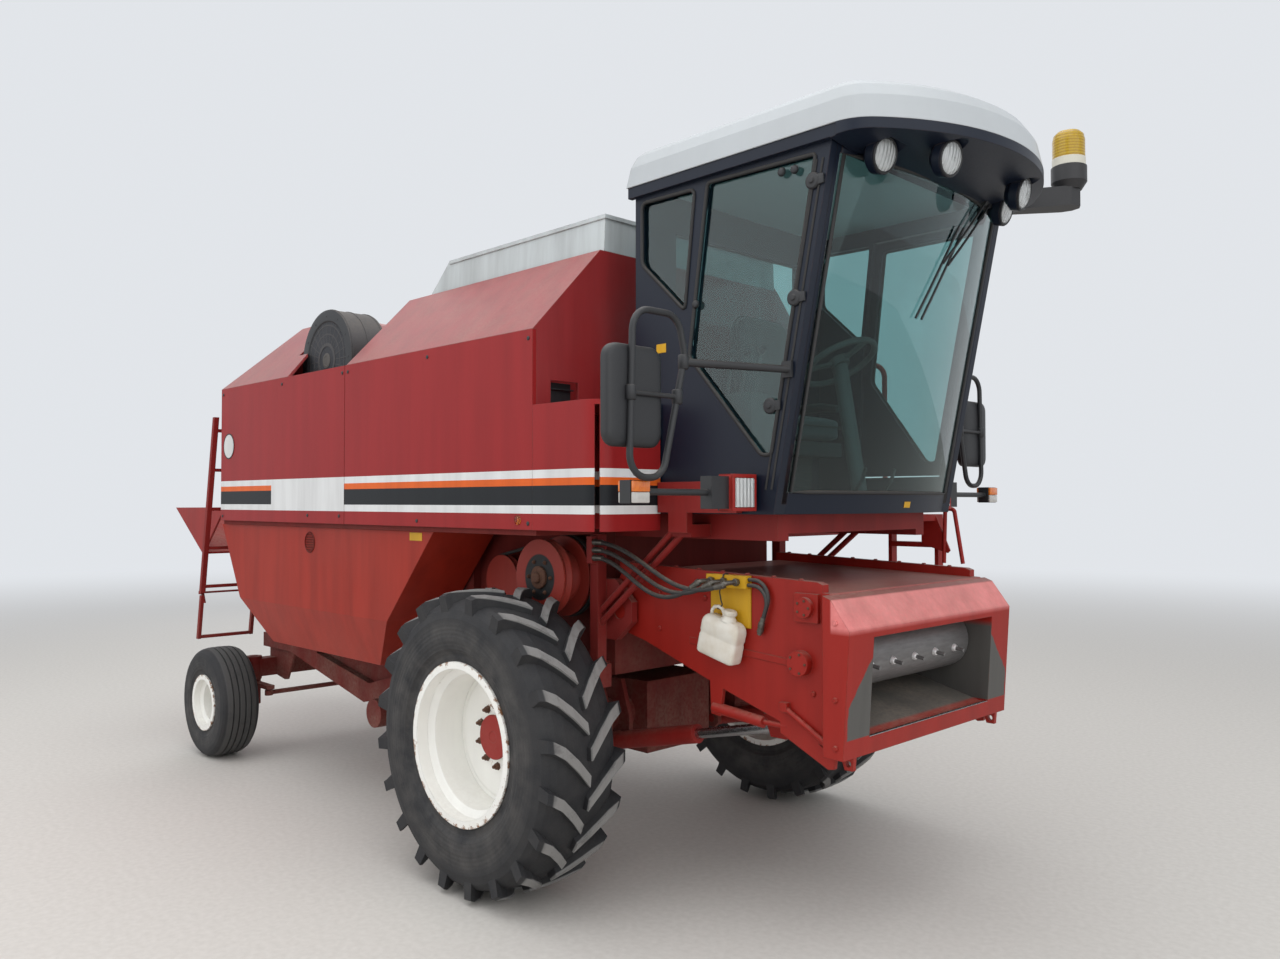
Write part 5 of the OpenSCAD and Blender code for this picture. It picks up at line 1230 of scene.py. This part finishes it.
# %% Work lamps under the visor
tilt, turn_out = math.radians(105), math.radians(6)
trim_shape = [(0.0755, -0.008), (0.0765, 0.004), (0.071, 0.008), (0.066, 0.004), (0.066, -0.001)]
lens_front = [(0.066, 0.003), (0.060, 0.008), (0.044, 0.013), (0.020, 0.016), (0.004, 0.0165)]
lens_back = [(0.004, 0.0145), (0.020, 0.014), (0.044, 0.011), (0.060, 0.006)]
trims, lenses, bulbs = bmesh.new(), bmesh.new(), bmesh.new()
for x, y, z in ((2098, 349, 3411), (1911, 564, 3419)):
    for side in (right, left):
        sideways = side * math.sin(tilt) * math.sin(turn_out)
        look = Vector((math.sin(tilt) * math.cos(turn_out), sideways, math.cos(tilt)))
        spot = at(x, side * y, z) + look * 0.002
        turned(trims, trim_shape, spot, look, 40, closed=True)
        turned(lenses, lens_front + lens_back, spot, look, 40, closed=True)
        turned(bulbs, [(0.016, 0.0), (0.016, 0.008), (0.006, 0.010)], spot, look, 20)
piece_from("work_lamp_rings", trims, black_moulding)
piece_from("work_lamp_lenses", lenses, work_lens_painted_bright)
piece_from("work_lamp_bulbs", bulbs, sign_white)
print("four work lamps")

# %% [markdown]
# The mirrors hang in closed hoops of bent tube. Their glass faces back, so the photograph shows the domed
# moulded backs. A tube bender leaves large even bends, so the hoop's corners are true arcs, and the head
# is a stack of rounded rectangles that shrink towards the front. These pieces stand in for the plain CAD
# mirrors, in the same place.

# %% Rounded rectangles and bent loops
def round_rectangle(half_w, half_h, r, steps=6):
    outline = []
    for cx, cy, start in ((1, 1, 0), (-1, 1, 90), (-1, -1, 180), (1, -1, 270)):
        for k in range(steps + 1):
            a = math.radians(start + 90 * k / steps)
            outline.append((cx * (half_w - r) + r * math.cos(a), cy * (half_h - r) + r * math.sin(a)))
    return outline


def bent_loop(points, r, steps=7):
    outline = []
    for i in range(len(points)):
        p, back, ahead = ways_from(points, i)
        half = back.angle(ahead) / 2
        centre = p + (back + ahead).normalized() * (r / math.sin(half))
        first = p + back * (r / math.tan(half)) - centre
        last = p + ahead * (r / math.tan(half)) - centre
        for k in range(steps + 1):
            t = k / steps
            outline.append(centre + (first * (1 - t) + last * t).normalized() * r)
    return outline


print("helpers: round_rectangle, bent_loop")

# %% Mirrors
mirror_x = {right: 1400, left: 1270}
hoop = bent_loop([(1255, 2555), (1295, 2712), (1550, 2712), (1570, 2052), (1385, 2052)], 88)
arm_y, arm_z, stay_z, head_y, head_z = 1263, 2525, 2380, 1520, 2370
clamp_shape = [(0.018, -0.030), (0.022, -0.026), (0.022, 0.026), (0.018, 0.030)]
head_steps = ((-60, 8), (-57, 2), (-50, 0), (-26, 0), (-17, 6), (-11, 22), (-8.5, 50), (-8, 80))
for side, word in both_sides:
    x = mirror_x[side]
    bm = bmesh.new()
    sweep(bm, [at(x, side * y, z) for y, z in hoop], 0.014, 14, closed=True)
    sweep(bm, [at(x, side * arm_y, arm_z), at(1565, side * 782, arm_z)], 0.017, 14)
    sweep(bm, [at(x, side * 1300, stay_z), at(x, side * 1562, stay_z)], 0.010, 12)
    block(bm, at(1535, side * 779 - 8.5, 2490), at(1585, side * 779 + 8.5, 2560))
    for y, z in ((arm_y, arm_z), (1300, stay_z), (1562, stay_z)):
        turned(bm, clamp_shape, at(x, side * y, z), (0, 0, 1), 18)
    frame = piece_from("mirror_frame_" + word, bm, black_moulding, smooth=50)
    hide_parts("mirror_" + word)
    bm = bmesh.new()
    outlines = []
    for dx, inset in head_steps:
        shape = round_rectangle(150 - inset, 200 - inset, max(56 - inset * 0.5, 14))
        outlines.append([at(x + dx, side * (head_y + u), head_z + v) for u, v in shape])
    skin(bm, outlines)
    piece_from("mirror_head_" + word, bm, black_moulding, smooth=40)
    bm = bmesh.new()
    pane = [at(x - 60.3, side * head_y + u, head_z + v) for u, v in round_rectangle(134, 184, 42)]
    plate(bm, pane, (-0.002, 0, 0))
    piece_from("mirror_glass_" + word, bm, mirror_glass, bevel=0.0006)
print("mirrors: hoops, heads and glass on both sides")

# %% [markdown]
# The feeder house is a welded box. Bolts hold its top's side rails, a rubbed steel lip ends the floor at
# the mouth, nuts hold the bearing plates, and pale guides sit where the fingers leave the drum. The
# paint's wear comes from the material; here we only add what stands proud.

# %% Feeder bolts and lip
top_back_x, top_back_z = 410, 1649
top_slope = 39 / 1230
rail_bolt = [(0.012, 0), (0.012, 0.004), (0.008, 0.008), (0.003, 0.008)]
side_bolt = [(0.013, 0), (0.013, 0.004), (0.009, 0.009), (0.004, 0.009)]
frame_bolt = [(0.014, 0), (0.014, 0.003), (0.010, 0.010), (0.004, 0.010)]
side_bolts = ((1700, 1500), (1700, 1130), (1620, 1130), (700, 1500), (700, 1330), (1000, 1500))
bm = bmesh.new()
for side in (right, left):
    out = (0, side, 0)
    for i in range(8):
        x = 490 + 150 * i
        top_z = top_back_z - (x - top_back_x) * top_slope
        turned(bm, rail_bolt, at(x, side * 658, top_z - 1), (0, 0, 1), 6)
    for x, z in side_bolts:
        turned(bm, side_bolt, at(x, side * 680, z), out, 6)
    for z in (1450, 1130, 930):
        turned(bm, frame_bolt, at(1765, side * 729, z), out, 6)
piece_from("feeder_bolts", bm, feeder_paint, "feeder", smooth=25)
bm = bmesh.new()
block(bm, at(1790, -537, 955.3), at(1806, 537, 958))
piece_from("feeder_floor_lip", bm, bright_steel, "feeder", bevel=0.0008)
print("feeder bolts and floor lip")

# %% Bearing nuts and finger guides
drum_x, drum_z = 1560, 1257
cap_bolt = [(0.006, 0), (0.006, 0.004), (0.003, 0.005)]
bm = bmesh.new()
for x, z, ring, sides in ((1590, 1500, 0.031, (right,)), (drum_x, drum_z, 0.042, (right, left))):
    for side in sides:
        for spot in round_spots(at(x, side * 720, z), ring, 5):
            turned(bm, cap_bolt, spot, (0, side, 0), 6)
piece_from("bearing_cap_bolts", bm, rusty_steel, "feeder", smooth=25)
guide = [(0.0190, -0.004), (0.0190, 0.0045), (0.0140, 0.0148), (0.0094, 0.0150), (0.0094, 0.002)]
drum_r = 0.150
bm = bmesh.new()
for row in range(3):
    a = math.radians(120 * row + 10)
    out = Vector((math.cos(a), 0, -math.sin(a)))
    for i in range(-2, 3):
        turned(bm, guide, at(drum_x, 190 * i, drum_z) + out * drum_r, out, 24, closed=True)
piece_from("finger_guides", bm, lamp_bowl, "feeder_drum")
print("cap bolts and finger guides")

# %% [markdown]
# The white canister is a blow-moulded can that hangs on the coupler block by a wire hook. Blow moulding
# leaves soft shoulders, so its body is a stack of rounded rectangles that shrink towards the top and
# bottom, with a ribbed cap on the neck and a grip arched over its back. It stands in for the plain CAD can.

# %% Canister body
can_tilt = math.radians(14)


def on_can(x, y, z):
    along, up = math.cos(can_tilt), math.sin(can_tilt)
    return at(1120 + x * along + z * up, -728.3 + y, 1236 - x * up + z * along)


neck_x, neck_z = 20, 190
can_steps = ((0, 16), (3, 8), (12, 1), (30, 0), (88, 0), (94, 3), (104, 3), (110, 0), (150, 0), (166, 4),
             (178, 12), (186, 22), (190, 30))
grip = ((-84, 180), (-86, 206), (-74, 224), (-50, 232), (-26, 226), (-12, 208), (-8, 186))
outlines = []
for h, inset in can_steps:
    shape = round_rectangle(112 - inset, 42 - inset * 0.55, max(6, 20 - inset * 0.4))
    outlines.append([on_can(u, v, h) for u, v in shape])
bm = bmesh.new()
skin(bm, outlines)
can_up = (on_can(0, 0, 1) - on_can(0, 0, 0)).normalized()
neck = [(0.038, -0.006), (0.036, 0.004), (0.027, 0.016), (0.026, 0.024)]
turned(bm, neck, on_can(neck_x, 0, neck_z), can_up, 32)
sweep(bm, [on_can(x, 0, z) for x, z in grip], 0.0085, 12)
can = piece_from("canister_body", bm, milky_plastic, "feeder", smooth=40)
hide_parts("canister")
print("canister body with neck and grip")

# %% Canister cap and hook
cap_shape = [(0.029, 0.022), (0.031, 0.025), (0.031, 0.040), (0.028, 0.045), (0.008, 0.046)]
ribs, rib_r = 18, 31
bm = bmesh.new()
turned(bm, cap_shape, on_can(neck_x, 0, neck_z), can_up, 24)
for i in range(ribs):
    a = 2 * math.pi * i / ribs
    base = on_can(neck_x + rib_r * math.cos(a), rib_r * math.sin(a), neck_z + 26)
    sweep(bm, [base, base + can_up * 0.012], 0.0016, 5)
piece_from("canister_cap", bm, milky_plastic, "feeder", smooth=40)
hook_top = [(1150, -690, 1622.5), (1150, -708, 1624.5), (1150, -724, 1621), (1148, -727.5, 1600),
            (1130, -728.3, 1540)]
hook_end = [(-46, 0, 262), (-34, 0, 246), (-40, -4, 222), (-52, -4, 220), (-62, -2, 236)]
bm = bmesh.new()
sweep(bm, [at(*p) for p in hook_top] + [on_can(*p) for p in hook_end], 0.0032, 8)
piece_from("canister_hook", bm, soft_black, "feeder", smooth=60)
print("canister cap and hook")

# %% [markdown]
# Two short hose tails hang from the front end of the coupler block: they feed the header when one is
# mounted. Each is a cord of about a quarter of a metre, stiff enough to arch out before it hangs, with a
# capped coupling on its end.

# %% Coupler tails
tail_turn, tail_arc = math.radians(112), 18
coupling = [(0.012, -0.02), (0.012, 0.0), (0.015, 0.002), (0.015, 0.024), (0.011, 0.028), (0.011, 0.036),
            (0.004, 0.038)]
for k, (start_z, bend, drop, y) in enumerate(((1603, 0.080, 0.105, -700), (1578, 0.075, 0.060, -706))):
    start = at(1280.3, y, start_z)
    points = [start, start + Vector((0.015, 0, 0)), start + Vector((0.030, 0, 0))]
    centre = points[-1] + Vector((0, 0, -bend))
    for i in range(1, tail_arc + 1):
        a = tail_turn * i / tail_arc
        points.append(centre + Vector((math.sin(a), 0, math.cos(a))) * bend)
    along = (points[-1] - points[-2]).normalized()
    last = points[-1]
    points += [last + along * drop * i / 5 for i in range(1, 6)]
    bm = bmesh.new()
    sweep(bm, points, 0.009, 12)
    tail = piece_from(f"coupler_tail_{k + 1}", bm, hose_black, "feeder", smooth=60)
    bm = bmesh.new()
    turned(bm, coupling, points[-1], along, 16)
    cap = piece_from(f"tail_coupling_{k + 1}", bm, fitting_steel, "feeder", smooth=50)

# %% [markdown]
# Two belts join the big pulley on the threshing drum's shaft to the smaller one behind it. A belt is a
# closed loop: an arc round each pulley, joined by straight tangents. We work the tangent points out, so
# the belt really lies in the grooves.

# %% Drive belts
small_pulley = (-520, 1500)
big_groove_r, small_groove_r = 213, 148


def belt_line(one, r_one, two, r_two, y):
    a, b = Vector((one[0], 0, one[1])), Vector((two[0], 0, two[1]))
    span = b - a
    heading = math.atan2(span.z, span.x)
    swing = math.acos((r_one - r_two) / span.length)
    arcs = ((a, r_one, heading + swing, 2 * math.pi - 2 * swing, 24),
            (b, r_two, heading - swing, 2 * swing, 16))
    points = []
    for centre, r, begins, sweeps, steps in arcs:
        for k in range(steps + 1):
            t = begins + sweeps * k / steps
            points.append(at(centre.x + r * math.cos(t), y, centre.z + r * math.sin(t)))
    return points


bm = bmesh.new()
for y in (-712, -728):
    sweep(bm, belt_line(big_pulley, big_groove_r, small_pulley, small_groove_r, y), 0.0085, 6, closed=True)
piece_from("drive_belts", bm, soft_black, smooth=45)
big_x, big_z = big_pulley
bm = bmesh.new()
for y, r in ((-920, 0.060), (-938, 0.030)):
    turned(bm, [(r, 0), (r, 0.012), (r / 1.2, 0.018), (r / 3, 0.019)], at(big_x, y, big_z), outward, 32)
nuts(bm, at(big_x, -920, big_z), outward, 0.09, 6, 0.010, 0.008, 0.004)
piece_from("pulley_hub", bm, rusty_steel, smooth=30)
print("two belts and a pulley hub")

# %% [markdown]
# The driver's seat is upholstered foam under cloth. A foam pad is a closed crowned form whose sides pull in
# between its corners, with sewn channels across it. We start from a cube cut into a fine grid, press it
# towards a cushion with a power rule, and draw the channels in as soft grooves. A piping cord then runs
# round the edge, as a sewn seam does. A pad this firm shows no folds, so no cloth simulation is needed.

# %% Seat cloth
threads = 2600.0
cloth_dark, cloth_light = (0.045, 0.046, 0.05, 1), (0.085, 0.083, 0.08, 1)
cloth_gap = (0.03, 0.03, 0.034, 1)
seat_cloth, tree, shader = new_material("seat_cloth")
where = machine_place(tree)
split = parts_of(tree, where)
warp = calc(tree, "SINE", times(tree, split["Y"], threads))
weft = calc(tree, "SINE", times(tree, calc(tree, "ADD", split["X"], split["Z"]), threads))
woven = times(tree, warp, weft)
cloudy = noise(tree, where, 8.0, 5.0)
cloth = mix(tree, between(tree, cloudy, 0.3, 0.7), cloth_dark, cloth_light)
tree.links.new(mix(tree, between(tree, woven, -1.0, 1.0), cloth, cloth_gap), shader.inputs["Base Color"])
tree.links.new(between(tree, cloudy, -0.5, 1.4), shader.inputs["Roughness"])
shader.inputs["Sheen Weight"].default_value = 0.25
shader.inputs["Sheen Roughness"].default_value = 0.4
bump(tree, shader, woven, 0.35, 0.0006)
print("seat cloth ready")


# %% A cushion
def groove(distance, width):
    return math.exp(-(distance / width) ** 2)


def cushion(name, place, half, channels):
    bm = bmesh.new()
    bmesh.ops.create_cube(bm, size=2)
    bmesh.ops.subdivide_edges(bm, edges=bm.edges[:], cuts=19, use_grid_fill=True)
    for v in bm.verts:
        x, y, z = v.co
        press = (abs(x) ** 6 + abs(y) ** 6 + abs(z) ** 5) ** (1 / 6)
        x, y, z = x / press, y / press, z / press
        waist = 1 - 0.05 * (1 - z * z)
        if z > 0:
            z *= 0.72 + 0.28 * (1 - x ** 4) * (1 - y ** 4)
            for c in channels:
                z -= 0.16 * groove(x - c, 0.045) * (1 - abs(y) ** 6)
            z -= 0.12 * groove(abs(y) - 0.62, 0.05) * (1 - abs(x) ** 6)
        v.co = place @ Vector((x * half[0] * waist, y * half[1] * waist, z * half[2]))
    pad = piece_from(name, bm, seat_cloth, smooth=70)
    bm = bmesh.new()
    rim = round_rectangle(half[0], half[1], half[0] * 0.3)
    edge = [place @ Vector((u * 0.985, v * 0.985, half[2] * 0.10)) for u, v in rim]
    sweep(bm, edge, 0.0045, 8, closed=True)
    piece_from(name + "_piping", bm, soft_black, smooth=60)
    return pad


print("helpers: groove, cushion")

# %% Driver's seat
back_lean = Matrix.Rotation(math.radians(-7.2), 4, "Y") @ Matrix.Rotation(math.radians(90), 4, "Y")
pad_place = Matrix.Translation(at(985, 0, 2338))
back_place = Matrix.Translation(at(822, 0, 2678)) @ back_lean
seat_pad = cushion("seat_cushion", pad_place, (0.195, 0.235, 0.062), (-0.45, 0.0, 0.45))
cushion("seat_back", back_place, (0.265, 0.225, 0.055), (-0.55, -0.15, 0.25, 0.6))
bm = bmesh.new()
block(bm, at(830, -130, 1945.5), at(1070, 130, 1990))
for i in range(5):
    fold, z = i % 2, 1990 + i * 40
    block(bm, at(850 + 6 * fold, -116 + 4 * fold, z), at(1050 - 6 * fold, 116 - 4 * fold, z + 40))
block(bm, at(800, -215, 2190), at(1165, 215, 2262))
piece_from("seat_base", bm, soft_black, bevel=0.006)
rest_line = ((800, 2430), (860, 2462), (1000, 2466), (1110, 2452))
bm = bmesh.new()
for y in (-262, 262):
    sweep(bm, [at(x, y, z) for x, z in rest_line], lambda t: 0.020 + 0.006 * math.sin(math.pi * t), 14)
    sweep(bm, [at(812, y * 0.9, 2300), at(808, y, 2380), at(800, y, 2430)], 0.012, 10)
piece_from("seat_arm_rests", bm, black_moulding, smooth=60)
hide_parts("operator_seat")
print("seat with cushion, back, base and arm rests")

# %% [markdown]
# Behind the glass one still sees the cab's trim: the console beside the seat with its switches and knobs,
# and pedals at the column's foot.

# %% Cab trim
console_z = 2465.3
knob_shape = [(0.010, -0.012), (0.020, 0.0), (0.022, 0.014), (0.014, 0.028), (0.004, 0.030)]
bm = bmesh.new()
for i in range(5):
    x = 820 + 80 * i
    block(bm, at(x, -600, console_z), at(x + 60, -560, 2472))
    turned(bm, [(0.010, 0), (0.010, 0.014), (0.006, 0.016)], at(x + 30, -450, console_z), (0, 0, 1), 14)
for x in (1040, 1130, 1220):
    turned(bm, knob_shape, at(x, -520, 2665), (0.2, 0, 1), 18)
piece_from("console_switches", bm, black_moulding, bevel=0.0008)
bm = bmesh.new()
for y in (-150, 110):
    block(bm, at(1420, y, 1948), at(1500, y + 70, 1966))
    sweep(bm, [at(x, y + 35, z) for x, z in ((1430, 1962), (1500, 2060), (1520, 2120))], 0.009, 8)
piece_from("pedals", bm, soft_black, bevel=0.002)
print("switches, knobs and pedals")

# %% [markdown]
# Last, we put the CAD box and the dressed box side by side, and print the dressed one.

# %% Finish
size = {"cad": [list(v) for v in cad_box], "visual": [list(v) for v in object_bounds()]}
print("dressed box from", rounded(size["visual"][0]), "to", rounded(size["visual"][1]))
